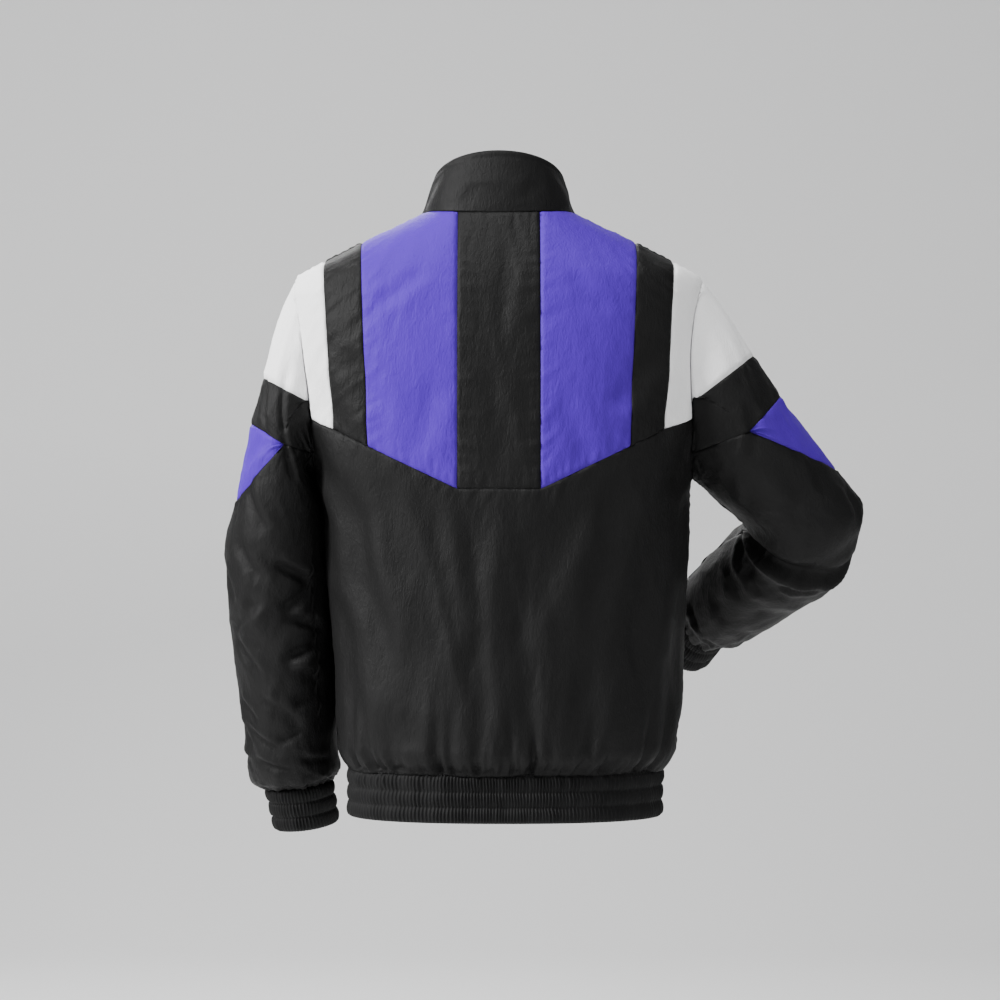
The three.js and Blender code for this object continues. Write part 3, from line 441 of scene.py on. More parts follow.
def seam_relief(points, sewn):
    """Dips and puckers by the sewn edges: a bell at the seam, and noise along it that dies away."""
    left, right, top, bottom = edge_distances(points)
    total = np.zeros(points.shape[:2])
    for name, distance, along in zip(ALL_EDGES, (left, right, top, bottom), (top, top, left, left)):
        if name in sewn:
            total -= SEAM_DIP * bell(distance / SEAM_DIP_WIDTH)
            pull = PUCKER_DEPTH * noise(along / PUCKER_PITCH, distance / 30 + 5.5)
            total += pull * np.exp(-distance / PUCKER_REACH) * ramp(distance / 2.5)
    return total


def cloth_faces(rows, cols):
    """Quads of the outer grid, the same turned over for the inner grid, and the four rims."""
    index = np.arange(rows * cols).reshape(rows, cols)
    inner = index + rows * cols
    a, b, c, d = index[:-1, :-1], index[1:, :-1], index[1:, 1:], index[:-1, 1:]
    outer = np.stack([a, b, c, d], axis=-1).reshape(-1, 4)
    turned = (outer + rows * cols)[:, ::-1]

    def rim(first, first_inner):
        """Quads between an edge of the outer grid and its copy inside."""
        return np.stack([first[:-1], first[1:], first_inner[1:], first_inner[:-1]], axis=-1)

    rims = [rim(index[0], inner[0]), rim(index[-1][::-1], inner[-1][::-1]),
            rim(index[::-1, 0], inner[::-1, 0]), rim(index[:, -1], inner[:, -1])]
    return np.concatenate([outer, turned] + rims)


def build_mesh(name, vertices, faces, uv=None, smooth=True):
    """A mesh object at the origin from arrays in millimetres, with an optional UV map in metres."""
    mesh = bpy.data.meshes.new(name)
    mesh.from_pydata((vertices * MM).tolist(), [], faces.tolist())
    if uv is not None:
        layer = mesh.uv_layers.new(name="cloth")
        layer.data.foreach_set("uv", (uv[faces.ravel()] * MM).ravel())
    mesh.polygons.foreach_set("use_smooth", np.full(len(mesh.polygons), smooth))
    mesh.update()
    obj = bpy.data.objects.new(name, mesh)
    bpy.context.scene.collection.objects.link(obj)
    return obj


def inset_edges(points, normals, distance):
    """Moves each edge of the grid inwards, square to the edge and within the cloth."""
    moved = points.copy()
    for edge, neighbour, axis in (
        (np.s_[0, :], np.s_[1, :], 0), (np.s_[-1, :], np.s_[-2, :], 0),
        (np.s_[:, 0], np.s_[:, 1], 1), (np.s_[:, -1], np.s_[:, -2], 1),
    ):
        inwards = unit(np.cross(np.gradient(points[edge], axis=0), normals[edge]))
        towards = np.sum(inwards * (points[neighbour] - points[edge]), axis=-1, keepdims=True)
        moved[edge] += np.sign(towards) * inwards * distance
    return moved


def cloth_sheet(node, slot_name, surface, grid, flip, relief, cloth_map, sewn=ALL_EDGES,
                wall=CLOTH_WALL, steps=(0.05, 0.05)):
    """A thin closed panel: outer face = surface + relief along the normal, inner face one wall in.

    It replaces the plain solid of its node, moves with the jacket and gets a UV map in the cloth's
    own coordinates.
    """
    a, b = grid[..., 0], grid[..., 1]
    points = surface(a, b)
    normals = outward(surface, a, b, *steps, flip)
    height = relief(a, b) + seam_relief(points, sewn)
    placed = inset_edges(points, normals, SEAM_GAP / 2)
    inner = placed + normals * (height - wall)[..., None]
    outer = placed + normals * height[..., None]
    rows, cols = a.shape
    faces = cloth_faces(rows, cols)
    j, i = rows // 2, cols // 2
    facing = np.cross(points[j + 1, i] - points[j, i], points[j, i + 1] - points[j, i])
    if np.dot(facing, normals[j, i]) < 0:
        faces = faces[:, ::-1]
    uv = np.stack(cloth_map(a, b), axis=-1).reshape(-1, 2)
    vertices = np.concatenate([outer.reshape(-1, 3), inner.reshape(-1, 3)])
    obj = build_mesh(f"cloth_{node}", vertices, faces, np.concatenate([uv, uv]))
    left, _, top, _ = edge_distances(points)
    cell = np.linalg.norm(np.cross(points[1:, :-1] - points[:-1, :-1],
                                   points[:-1, 1:] - points[:-1, :-1]), axis=-1)
    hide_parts(node)
    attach(obj, "jacket")
    sheets.append((obj, slot_name))


def steps_for(length):
    """How many grid steps a length needs."""
    return max(2, int(round(length / GRID_STEP)))

# %% [markdown]
# ## Creases of the body
# On the back, shallow buckles run from the stripes' feet down to the hem, and drag lines cross the
# yoke towards the armholes. Over the elastic hem the cloth is gathered, so short upright puckers
# stand above it, each of its own height and depth. The hidden front gets a like set.

# %% Relief of the body
AROUND = math.radians(1) * 142
BLOUSE_HEIGHT, BLOUSE_RISE, BLOUSE_WIDTH = 2.6, 18, 14
SIDE_BULGE, SIDE_BULGE_ANGLE, SIDE_BULGE_WIDTH = 3.8, 92, 26
BULGE_TOP, BULGE_TOP_FADE, BULGE_FOOT, BULGE_FOOT_FADE = 285, 55, 640, 60
JOIN_FADE, ZIP_SMOOTH, ZIP_FADE = 12, 19, 20
GATHER_START, GATHER_FADE, GATHER_WIDEN = 5, 1.1, 0.6
LOW_START, LOW_FADE = 240, 120
# Sets of buckles: depth, what is added to it low down, width, slant, length, shift
BODY_BUCKLES = ((0.45, 0.35, 24, -110, 95, 9.1), (0.28, 0, 10, 60, 34, 1.9))
SWELL_DEPTH, SWELL_DEPTH_LOW, SWELL_WIDTH, SWELL_SLANT, SWELL_LENGTH = 0.5, 2.2, 27, 160, 120
FINE_DEPTH, FINE_WIDTH, FINE_LENGTH = 0.2, 4, 9
# x_start, z_start, x_end, z_end, depth, width, with x round the body from the back
BACK_CREASES = (
    (-35, -345, -12, -520, 3.0, 14),
    (30, -350, 62, -560, 2.8, 15),
    (-72, -330, -38, -470, 3.4, 14),
    (88, -320, 60, -500, 3.2, 12),
    (-118, -300, -92, -455, 3.6, 15),
    (132, -290, 108, -440, 3.4, 14),
    (-160, -330, -120, -540, 4.4, 16),
    (168, -300, 140, -520, 4.6, 15),
    (-8, -430, -22, -625, 2.8, 14),
    (46, -480, 30, -630, 2.8, 12),
    (-95, -500, -80, -630, 3.2, 14),
    (100, -470, 118, -628, 3.4, 15),
    (190, -420, 160, -600, 4.2, 15),
    (-196, -410, -172, -610, 4.4, 16),
    (-150, -160, -118, -235, 2.5, 10),
    (148, -150, 120, -240, 2.5, 10),
    (-190, -190, -150, -262, 3.0, 12),
    (186, -185, 152, -270, 2.8, 12),
    (-90, -70, -128, -118, 2.1, 9),
    (92, -66, 134, -112, 2.1, 9),
    (-70, -210, -96, -300, 2.3, 12),
    (74, -190, 100, -290, 2.3, 12),
    (-20, -30, 6, -160, 1.7, 14),
    (18, -180, -10, -300, 1.7, 14),
    (-206, -240, -176, -330, 4.6, 14),
    (208, -236, 182, -322, 4.2, 14),
    (-204, -300, -186, -420, 3.8, 12),
    (205, -310, 192, -430, 3.6, 12),
)
FRONT_CREASES = (
    (402, -330, 372, -560, 3.8, 15),
    (-400, -320, -376, -540, 3.8, 15),
    (340, -300, 318, -470, 3.4, 14),
    (-342, -310, -315, -500, 3.6, 14),
    (300, -280, 268, -420, 3.8, 15),
    (-296, -290, -270, -430, 4.0, 14),
    (428, -380, 410, -600, 2.7, 12),
    (-430, -360, -408, -590, 2.7, 12),
    (360, -480, 350, -625, 3.0, 14),
    (-352, -470, -340, -628, 3.2, 14),
    (320, -150, 280, -235, 2.7, 12),
    (-318, -160, -284, -240, 2.7, 12),
    (262, -220, 236, -330, 4.2, 14),
    (-264, -230, -240, -326, 4.4, 14),
    (372, -120, 340, -210, 2.1, 12),
    (-370, -130, -338, -214, 2.1, 12),
)
gather_seed = np.random.default_rng(21)


def gather_rows(count, heights, depths, widths, leans):
    """Uneven gathers round the hem: angle, height, depth, width in degrees and lean of each."""
    angle = np.linspace(-180, 180, count, endpoint=False)
    angle = angle + gather_seed.uniform(-0.3, 0.3, count) * 360 / count
    ranges = (heights, depths, widths, leans)
    return np.column_stack([angle] + [gather_seed.uniform(*pair, count) for pair in ranges])


HEM_GATHERS = np.concatenate([
    gather_rows(104, (14, 44), (3.0, 6.5), (0.6, 1.1), (-0.06, 0.06)),
    gather_rows(30, (50, 140), (4.5, 9.5), (1.5, 2.8), (-0.06, 0.06)),
])


def hem_gathers(angle, z):
    """Upright puckers over the hem: bells round the body that widen and fade as they rise."""
    rise = z - HEM_SEAM
    total = np.zeros(angle.shape)
    for at, height, depth, width, lean in HEM_GATHERS:
        off = (angle - at - lean * rise + 180) % 360 - 180
        fade = np.clip(1 - rise / height, 0, 1) ** GATHER_FADE * ramp(rise / GATHER_START)
        total -= depth * fade * bell(off / (width * (1 + GATHER_WIDEN * rise / height)))
    return total + BLOUSE_HEIGHT * bell((rise - BLOUSE_RISE) / BLOUSE_WIDTH)


def seam_fade(angle, z):
    """0 at the neckline and the armholes and 1 a little away, so that joined pieces meet there."""
    fade = ramp((neckline(angle) - z) / JOIN_FADE)
    middle, half = (ARMHOLE_TOP + ARMPIT) / 2, (ARMHOLE_TOP - ARMPIT) / 2
    lean = ARMHOLE_SPREAD * np.sqrt(1 - np.clip((z - middle) / half, -1, 1) ** 2) ** 0.8
    from_side = np.abs(np.abs((angle + 180) % 360 - 180) - 90)
    across = np.maximum(0, from_side - lean) * AROUND
    return fade * ramp(np.hypot(across, np.maximum(0, np.abs(z - middle) - half)) / JOIN_FADE)


def body_relief(angle, z):
    """Placed creases, hem gathers, buckles and crumple, added, and smoothed out beside the zip."""
    x = angle * AROUND
    total = creases(BACK_CREASES + FRONT_CREASES, x, z)
    low = ramp((-z - LOW_START) / LOW_FADE)
    total = total + hem_gathers(angle, z)
    bulge = SIDE_BULGE * bell((angle - SIDE_BULGE_ANGLE) / SIDE_BULGE_WIDTH)
    bulge = bulge * ramp((-z - BULGE_TOP) / BULGE_TOP_FADE)
    total = total + bulge * ramp((z + BULGE_FOOT) / BULGE_FOOT_FADE)
    swell = noise(x / SWELL_WIDTH + z / SWELL_SLANT, z / SWELL_LENGTH)
    total = total + (SWELL_DEPTH + SWELL_DEPTH_LOW * low) * swell
    for depth, deeper, width, slant, length, shift in BODY_BUCKLES:
        total = total + (depth + deeper * low) * buckles(x / width + z / slant, z / length, shift)
    total = total + FINE_DEPTH * noise(x / FINE_WIDTH, z / FINE_LENGTH)
    beside_zip = (180 - np.abs(angle)) * AROUND
    return total * ramp((beside_zip - ZIP_SMOOTH) / ZIP_FADE) * seam_fade(angle, z)


def body_map(angle, z):
    """The cloth's own coordinates: distance round the body, and height."""
    return angle * AROUND, z


# %% [markdown]
# ## The body's panels
# The back has a black middle, two purple stripes, two black side strips and two white shoulder
# pieces, which end at one chevron seam. Below it the back is a single black piece. The front repeats
# the blocks, because they run on over the shoulder seams, and opens down the middle for the zip.

# %% Panels above the chevron seam
def body_panel(node, slot_name, grid):
    """One panel of the body, from its grid of places."""
    cloth_sheet(node, slot_name, body_point, grid, -1, body_relief, body_map)


def chevron(x):
    """The height of the chevron seam at sideways distance x."""
    return CHEVRON_LOW + CHEVRON_SLOPE * (abs(x) - STRIPE_INNER)


def chevron_end(side, is_back):
    """Where the chevron seam meets the armhole."""
    angle, z = armhole(side, CHEVRON_TURN if is_back else -CHEVRON_TURN)
    return float(body_point(angle, z)[0]), float(z)


UPPER_ROWS = steps_for(300)
STRIPE_NECK_STEPS, STRIPE_SEAM_STEPS = steps_for(75), steps_for(85)
SIDE_STEPS, SHOULDER_STEPS, WHITE_ARM_STEPS = steps_for(50), steps_for(42), steps_for(44)


def down_seam(x, is_back):
    """A seam straight down from the neckline to the chevron's foot."""
    return straight_seam(neck_corner(x, is_back), (x, CHEVRON_LOW), UPPER_ROWS, is_back)


def upper_panels(side_name, is_back):
    """The stripe, side strip and white shoulder piece of one side, on the back or the front."""
    side = SIDES[side_name]
    face = "back" if is_back else "front"

    stripe_z = shoulder_height(STRIPE_OUTER_TOP, side, lambda z: seam_angle(side, z))
    white_z = shoulder_height(WHITE_EDGE_TOP, side, lambda z: seam_angle(side, z))
    end_z = float(armhole(side, SEAM_TURN)[1])
    low, end = (side * STRIPE_INNER, CHEVRON_LOW), chevron_end(side, is_back)
    stripe_foot = (side * STRIPE_OUTER_BOTTOM, chevron(STRIPE_OUTER_BOTTOM))
    white_foot = (side * WHITE_EDGE_BOTTOM, chevron(WHITE_EDGE_BOTTOM))

    def outer_seam(x, top_z, foot):
        """A seam from the shoulder down to its foot on the chevron."""
        if is_back:
            seam = straight_seam((side * x, top_z), foot, UPPER_ROWS, True)
            seam[0, 0] = seam_angle(side, top_z)
            return seam
        return front_seam(x, top_z, foot, side, UPPER_ROWS)

    def shoulder_seam(start, stop, steps):
        """The shoulder seam between two heights."""
        heights = np.linspace(start, stop, steps + 1)
        return np.stack([seam_angle(side, heights), heights], axis=-1)

    inner_edge = down_seam(side * STRIPE_INNER, is_back)
    stripe_edge = outer_seam(STRIPE_OUTER_TOP, stripe_z, stripe_foot)
    white_edge = outer_seam(WHITE_EDGE_TOP, white_z, white_foot)
    neck_steps = STRIPE_NECK_STEPS // (2 if is_back else 1)
    stripe_head = chain(
        neck_edge(inner_edge[0, 0], side * SHOULDER_SEAM_ANGLE, neck_steps),
        shoulder_seam(float(neckline(SHOULDER_SEAM_ANGLE)), stripe_z, STRIPE_SEAM_STEPS),
    )
    white_head = shoulder_seam(white_z, end_z, SHOULDER_STEPS)
    if not is_back:
        white_head = chain(white_head, armhole_edge(side, SEAM_TURN, -SEAM_TURN, WHITE_ARM_STEPS))
    turn = 1 if is_back else -1
    outer_edge = armhole_edge(side, turn * SEAM_TURN, turn * CHEVRON_TURN, UPPER_ROWS)
    side_head = shoulder_seam(stripe_z, white_z, SIDE_STEPS)
    pieces = (
        ("stripe", "purple_nylon", stripe_head, low, stripe_foot, inner_edge, stripe_edge),
        ("side", "black_nylon", side_head, stripe_foot, white_foot, stripe_edge, white_edge),
        ("shoulder", "white_nylon", white_head, white_foot, end, white_edge, outer_edge),
    )
    for piece, slot_name, head, foot_start, foot_end, inner, outer in pieces:
        foot = straight_seam(foot_start, foot_end, len(head) - 1, is_back)
        body_panel(f"{face}_{piece}_{side_name}", slot_name, body_grid(head, foot, inner, outer))


for side_name in SIDES:
    upper_panels(side_name, True)
    upper_panels(side_name, False)

# %% [markdown]
# The middle panels are plain strips between the stripes. Below the chevron the back is one piece,
# as wide as half the body, and each front has its own lower piece from the side to the zip.

# %% Middle and lower panels
centre_foot = chain(*(
    straight_seam((start, CHEVRON_LOW), (end, CHEVRON_LOW), steps_for(STRIPE_INNER), True)
    for start, end in ((-STRIPE_INNER, 0), (0, STRIPE_INNER))))
centre_edges = [down_seam(x, True) for x in (-STRIPE_INNER, STRIPE_INNER)]
centre_head = neck_edge(centre_edges[0][0, 0], centre_edges[1][0, 0], len(centre_foot) - 1)
body_panel("back_centre", "black_nylon", body_grid(centre_head, centre_foot, *centre_edges))


def chevron_seam(side, is_back):
    """The slanted seam follows each panel's own foot: three straight runs, then the armpit."""
    run = STRIPE_OUTER_BOTTOM, WHITE_EDGE_BOTTOM
    feet = [(side * STRIPE_INNER, CHEVRON_LOW)] + [(side * x, chevron(x)) for x in run]
    feet.append(chevron_end(side, is_back))
    parts = [straight_seam(a, b, steps_for(abs(b[0] - a[0])), is_back)
             for a, b in zip(feet, feet[1:])]
    turn = CHEVRON_TURN if is_back else -CHEVRON_TURN
    parts.append(armhole_edge(side, turn, 180 if is_back else -180, steps_for(70)))
    return chain(*parts)


DENSE_FROM, OPEN_LINES, DENSE_LINES = 0.8, 80, 34
LOWER_ROWS = np.concatenate([np.linspace(0, DENSE_FROM, OPEN_LINES)[:-1],
                             np.linspace(DENSE_FROM, 1, DENSE_LINES)])


def lower_grid(head, start_x=None):
    """Straight runs down from the head to the hem seam, closer together near the hem."""
    count = len(head)
    first, last = head[0, 0], head[-1, 0]
    hem_first = first if start_x is None else float(angle_of(start_x, HEM_SEAM, False))
    hem = np.linspace(hem_first, last, count)
    v = LOWER_ROWS[:, None]
    angles = head[:, 0] * (1 - v) + hem * v
    heights = head[:, 1] * (1 - v) + HEM_SEAM * v
    if start_x is not None:
        wanted = angle_of(start_x, heights[:, 0], False)
        u = np.linspace(0, 1, count)
        angles = angles + (wanted - angles[:, 0])[:, None] * (1 - u) ** 2
    return np.stack([angles, heights], axis=-1)


back_head = chain(chevron_seam(-1, True)[::-1], centre_foot, chevron_seam(1, True))
body_panel("back_lower", "black_nylon", lower_grid(back_head))
for side_name, side in SIDES.items():
    edges = [down_seam(side * x, False) for x in (FRONT_EDGE, STRIPE_INNER)]
    steps = steps_for(STRIPE_INNER - FRONT_EDGE)
    head = neck_edge(edges[0][0, 0], edges[1][0, 0], steps)
    foot = straight_seam((side * FRONT_EDGE, CHEVRON_LOW), (side * STRIPE_INNER, CHEVRON_LOW),
                         steps, False)
    body_panel(f"front_centre_{side_name}", "black_nylon", body_grid(head, foot, *edges))
    body_panel(f"front_lower_{side_name}", "black_nylon",
               lower_grid(chain(foot, chevron_seam(side, False)), side * FRONT_EDGE))

# %% [markdown]
# ## Sleeves
# A sleeve is a row of ovals. Each has its outer and inner edge in the table, and its depth lies
# square to the arm. Near the shoulder the ovals are blended into the armhole, so that the cap grows
# out of the body. Where the arm bends, tucks and zigzag creases are placed one by one.

# %% Sleeve surface
# station, turn, slant, depth, length, width
SLEEVE_FOLDS = {
    1: ((6.2, 95, 0.012, 3.5, 0.35, 55), (7.6, 120, -0.014, 3.2, 0.4, 50),
        (8.7, 60, 0.012, 3, 0.4, 55), (7.2, -100, 0.012, 3.2, 0.4, 55)),
    -1: ((8.2, 70, 0.01, 4, 0.45, 60), (9.6, 110, -0.012, 3.5, 0.4, 50),
         (11.2, 60, 0.01, 3, 0.5, 50), (8.6, -110, 0.01, 3.5, 0.45, 55)),
}
SLEEVE_BLEND = 1.6
SLEEVE_END = {1: 13, -1: 15}


def sleeve_edges(side, station):
    """The outer and inner edge of the sleeve at a station, as points."""
    read = sleeve_tables["left" if side > 0 else "right"]
    y = read["y"](station)
    outer = np.stack([read["outer_x"](station), y, read["outer_z"](station)], axis=-1)
    inner = np.stack([read["inner_x"](station), y, read["inner_z"](station)], axis=-1)
    return outer, inner


def sleeve_oval(side, turn, station):
    """An oval: the outer half-axis by the turn's cosine, and the depth by its sine."""
    turn, station = paired(turn, station)
    outer, inner = sleeve_edges(side, station)
    ahead, behind = (sum(sleeve_edges(side, station + step)) / 2 for step in (0.1, -0.1))
    half = (outer - inner) / 2 * [1, 0, 1]
    backwards = np.cross(ahead - behind, half)
    backwards = unit(backwards * np.sign(backwards[..., 1:2]))
    depth = sleeve_tables["left" if side > 0 else "right"]["depth"](station)[..., None]
    angle = np.radians(turn)[..., None]
    return (outer + inner) / 2 + half * np.cos(angle) + backwards * depth * np.sin(angle)


def sleeve_point(side, turn, station):
    """The armhole blended into the oval, sunk towards the middle by the placed folds."""
    turn, station = paired(turn, station)
    places = armhole(side, turn)
    seam = body_point(places[..., 0], places[..., 1])
    share = ramp(station / SLEEVE_BLEND)[..., None]
    point = seam * (1 - share) + sleeve_oval(side, turn, station) * share
    outer, inner = sleeve_edges(side, station)
    sunk = np.zeros(turn.shape)
    for at, around, slant, depth, length, width in SLEEVE_FOLDS[side]:
        off = station - at - slant * (turn - around)
        sunk += depth * bell(off / length) * bell((turn - around) / width)
    return point + unit((outer + inner) / 2 - point) * sunk[..., None]


def arm_lengths(side):
    """The distance along the arm's middle to each station."""
    outer, inner = sleeve_edges(side, np.arange(SLEEVE_END[side] + 1))
    steps = np.linalg.norm(np.diff((outer + inner) / 2, axis=0), axis=-1)
    return np.concatenate([[0], np.cumsum(steps)])


along_arm = {side: arm_lengths(side) for side in (1, -1)}
print("sleeve lengths", {side: round(float(v[-1])) for side, v in along_arm.items()})

# %% [markdown]
# The creases of the sleeves are placed one by one: on the straight arm a zigzag from the elbow
# down the inner side and wrinkles piled on the cuff, on the bent arm a deep tuck inside the elbow
# with creases that fan out from it over the outer side.

# %% Relief of the sleeves
TURN_MM = 1.13
CUFF_BLOUSE_HEIGHT, CUFF_BLOUSE_RISE, CUFF_BLOUSE_WIDTH = 2.0, 15, 12
INNER_BULGE, INNER_BULGE_WIDTH = 4.4, 55
# turn_start, run_start, turn_end, run_end, depth, width, with run along the arm
SLEEVE_CREASES = {
    1: (
        (20, 40, 62, 92, 4.6, 7.6), (58, 96, 30, 128, 3.8, 6.8), (-30, 60, 8, 118, 3.8, 7.6),
        (92, 210, 142, 238, 5.5, 6.8), (142, 240, 96, 268, 5.9, 6.8), (98, 270, 150, 296, 6.3, 6.8),
        (150, 300, 92, 330, 6.3, 6.8), (94, 334, 146, 352, 5.5, 6.0), (148, 356, 98, 382, 5.5, 6.0),
        (40, 190, 78, 236, 4.2, 7.6), (74, 250, 30, 300, 4.6, 7.6), (28, 306, 66, 350, 4.6, 7.6),
        (10, 222, 34, 268, 3.8, 7.6), (60, 372, 116, 398, 5.0, 6.0), (20, 380, 56, 404, 4.2, 6.0),
        (120, 402, 72, 424, 5.0, 5.1), (30, 412, 88, 432, 5.0, 5.1), (6, 400, 40, 436, 3.8, 6.0),
        (100, 436, 150, 446, 4.6, 4.2), (40, 444, 96, 452, 4.6, 4.2), (-20, 438, 30, 450, 4.2, 4.2),
        (160, 190, 190, 250, 5.0, 7.6), (-92, 210, -142, 240, 5.5, 6.8),
        (-140, 246, -96, 276, 5.9, 6.8), (-98, 282, -148, 310, 5.9, 6.8),
        (-146, 318, -94, 344, 5.5, 6.8), (-40, 240, -78, 292, 4.2, 7.6),
        (-76, 300, -36, 350, 4.2, 7.6), (-60, 380, -116, 404, 5.0, 6.0),
        (-118, 412, -60, 430, 4.6, 5.1), (-30, 150, -70, 200, 3.8, 7.6),
        (44, 134, 84, 184, 4.0, 7.6), (96, 60, 120, 110, 3.8, 6.8), (70, 20, 96, 70, 3.4, 6.8),
    ),
    -1: (
        (20, 30, 58, 88, 2.4, 9), (64, 60, 100, 110, 2.4, 8), (-24, 50, 10, 110, 2.2, 9),
        (100, 116, 142, 178, 2.6, 8), (70, 140, 104, 196, 2.0, 9), (30, 120, 58, 176, 2.0, 8),
        (20, 178, 40, 214, 2.6, 6), (4, 190, 22, 226, 2.6, 5), (-10, 196, 6, 236, 2.4, 5),
        (196, 226, 20, 250, 11.0, 7), (60, 252, 0, 244, 6.0, 5), (100, 262, 46, 262, 4.5, 4),
        (176, 250, 120, 286, 4.5, 6), (150, 254, 92, 296, 3.2, 6), (140, 292, 96, 330, 2.6, 7),
        (98, 300, 60, 340, 2.2, 8), (56, 284, 20, 312, 2.2, 7), (120, 350, 78, 374, 2.6, 7),
        (66, 366, 24, 384, 2.4, 7), (130, 396, 84, 412, 3.0, 5), (80, 414, 30, 424, 3.0, 5),
        (40, 396, 0, 412, 2.6, 6), (150, 428, 96, 434, 2.6, 4), (24, 420, -16, 430, 2.6, 4),
        (-196, 226, -30, 250, 9.0, 7), (-170, 256, -116, 290, 4.0, 6), (-90, 262, -42, 264, 4.0, 5),
        (-140, 296, -98, 332, 2.6, 7), (-110, 348, -66, 368, 2.4, 8), (-126, 394, -78, 410, 2.6, 6),
        (-74, 414, -30, 424, 2.6, 5), (-70, 140, -106, 196, 2.2, 8), (-40, 176, -60, 216, 2.4, 7),
    ),
}
CUFF_GATHERS = 30
cuff_gather_turn = np.linspace(-180, 180, CUFF_GATHERS, endpoint=False)
cuff_gather_turn = cuff_gather_turn + gather_seed.uniform(-4, 4, CUFF_GATHERS)
cuff_gather_height = gather_seed.uniform(10, 34, CUFF_GATHERS)
cuff_gather_depth = gather_seed.uniform(1.0, 3.4, CUFF_GATHERS)
CUFF_GATHER_WIDTH, CUFF_GATHER_WIDEN, CUFF_GATHER_FADE = 2.6, 0.05, 1.2
INNER_TOP, INNER_TOP_FADE, INNER_FOOT, INNER_FOOT_FADE = 50, 80, 450, 60
SLACK_START, SLACK_FADE = 120, 100
# Sets of buckles: depth, what is added to it lower down, width, slant, length, shift, and how
# much of the shift the side changes
SLEEVE_BUCKLES = (
    (0.75, 1.05, 38, 90, 54, 6.2, 1),
    (0.6, 0, 17, -40, 28, 2.4, 1),
    (0.3, 0, 8, 25, 12, 5.1, 0),
)
SLEEVE_FINE_WIDTH, SLEEVE_FINE_LENGTH = 5, 6.5


def arm_distance(side, station):
    """Distance along the arm at a station, straight between the whole stations."""
    return np.interp(station, np.arange(len(along_arm[side])), along_arm[side])


def sleeve_relief(side):
    """The relief of one sleeve as a function of turn and station."""

    def relief(turn, station):
        """Creases, cuff gathers, bulges, buckles and crumple, added."""
        s, run = turn * TURN_MM, arm_distance(side, station)
        rise = along_arm[side][-1] - run
        total = creases(SLEEVE_CREASES[side], turn, run)
        for at, height, depth in zip(cuff_gather_turn, cuff_gather_height, cuff_gather_depth):
            off = (turn - at + 180) % 360 - 180
            fade = np.clip(1 - rise / height, 0, 1) ** CUFF_GATHER_FADE
            width = CUFF_GATHER_WIDTH + CUFF_GATHER_WIDEN * rise
            total = total - depth * fade * bell(off / width)
        total = total + CUFF_BLOUSE_HEIGHT * bell((rise - CUFF_BLOUSE_RISE) / CUFF_BLOUSE_WIDTH)
        if side > 0:
            inner_side = bell((180 - np.abs(turn)) / INNER_BULGE_WIDTH)
            bulge = INNER_BULGE * inner_side * ramp((run - INNER_TOP) / INNER_TOP_FADE)
            total = total + bulge * ramp((INNER_FOOT - run) / INNER_FOOT_FADE)
        slack = ramp((run - SLACK_START) / SLACK_FADE)
        for depth, deeper, width, slant, length, shift, by_side in SLEEVE_BUCKLES:
            shape = buckles(s / width + run / slant, run / length, shift + by_side * side)
            total = total + (depth + deeper * slack) * shape
        crumple = noise(s / SLEEVE_FINE_WIDTH, run / SLEEVE_FINE_LENGTH)
        return (total + FINE_DEPTH * crumple) * ramp(run / JOIN_FADE)

    return relief


print("creases on the sleeves", {side: len(rows) for side, rows in SLEEVE_CREASES.items()})

# %% [markdown]
# ## Pieces of a sleeve
# A white cap crosses the shoulder, a black band follows it, a purple wedge lies on the outer side,
# and a black lower piece runs to the cuff. Each seam is a row of turns and stations.

# %% Sleeve panels
SLEEVE_PATTERN = {
    1: {"cap_end": 2, "wedge_top": 3.05, "wedge_point": 2.2, "wedge_turn": 97, "wedge_foot": 5.05},
    -1: {"cap_end": 2, "wedge_top": 3.05, "wedge_point": 2.73, "wedge_turn": 84, "wedge_foot": 5.05},
}
CAP_END_TURN, BAND_END_TURN = 105.4, 141.6
CAP_CORNER_TURN = 52.4
SEAM_SEARCH_MARGIN, BLUNT_SHARE = 0.7, 0.06
OUTER_STEPS, FLANK_STEPS, CORNER_STEPS, UNDER_STEPS = 30, 18, 20, 16
SLEEVE_BAND_LINES, WEDGE_LINES = 32, 26


def ring(start, end, steps):
    """Places along the armhole, at station 0."""
    turns = np.linspace(start, end, steps + 1)
    return np.stack([turns, np.zeros(steps + 1)], axis=-1)


def ruled(top, bottom, rows):
    """Straight runs from one seam to another, place by place."""
    v = np.linspace(0, 1, rows + 1)[:, None, None]
    return top[None] * (1 - v) + bottom[None] * v


def straight_run(side, start, end, steps):
    """A seam that looks straight from behind: at each turn its station is found by halving."""
    places = line(start, end, steps)
    turn = places[:, 0]
    ends = sleeve_point(side, places[[0, -1], 0], places[[0, -1], 1])
    (x0, _, z0), (x1, _, z1) = ends

    def off_line(station):
        """On which side of the straight line each place is seen, as a sign."""
        point = sleeve_point(side, turn, station)
        return np.sign((point[:, 0] - x0) * (z1 - z0) - (point[:, 2] - z0) * (x1 - x0))

    low = np.full(steps + 1, max(0, min(start[1], end[1]) - SEAM_SEARCH_MARGIN))
    high = np.full(steps + 1, max(start[1], end[1]) + SEAM_SEARCH_MARGIN)
    low_sign = off_line(low)
    for _ in range(HALVINGS):
        middle = (low + high) / 2
        same = off_line(middle) == low_sign
        low, high = np.where(same, middle, low), np.where(same, high, middle)
    places[1:-1, 1] = ((low + high) / 2)[1:-1]
    return places


def blunt(edge):
    """The edge with its two ends drawn a little towards their neighbours."""
    edge = edge.copy()
    edge[0] += (edge[1] - edge[0]) * BLUNT_SHARE
    edge[-1] += (edge[-2] - edge[-1]) * BLUNT_SHARE
    return edge


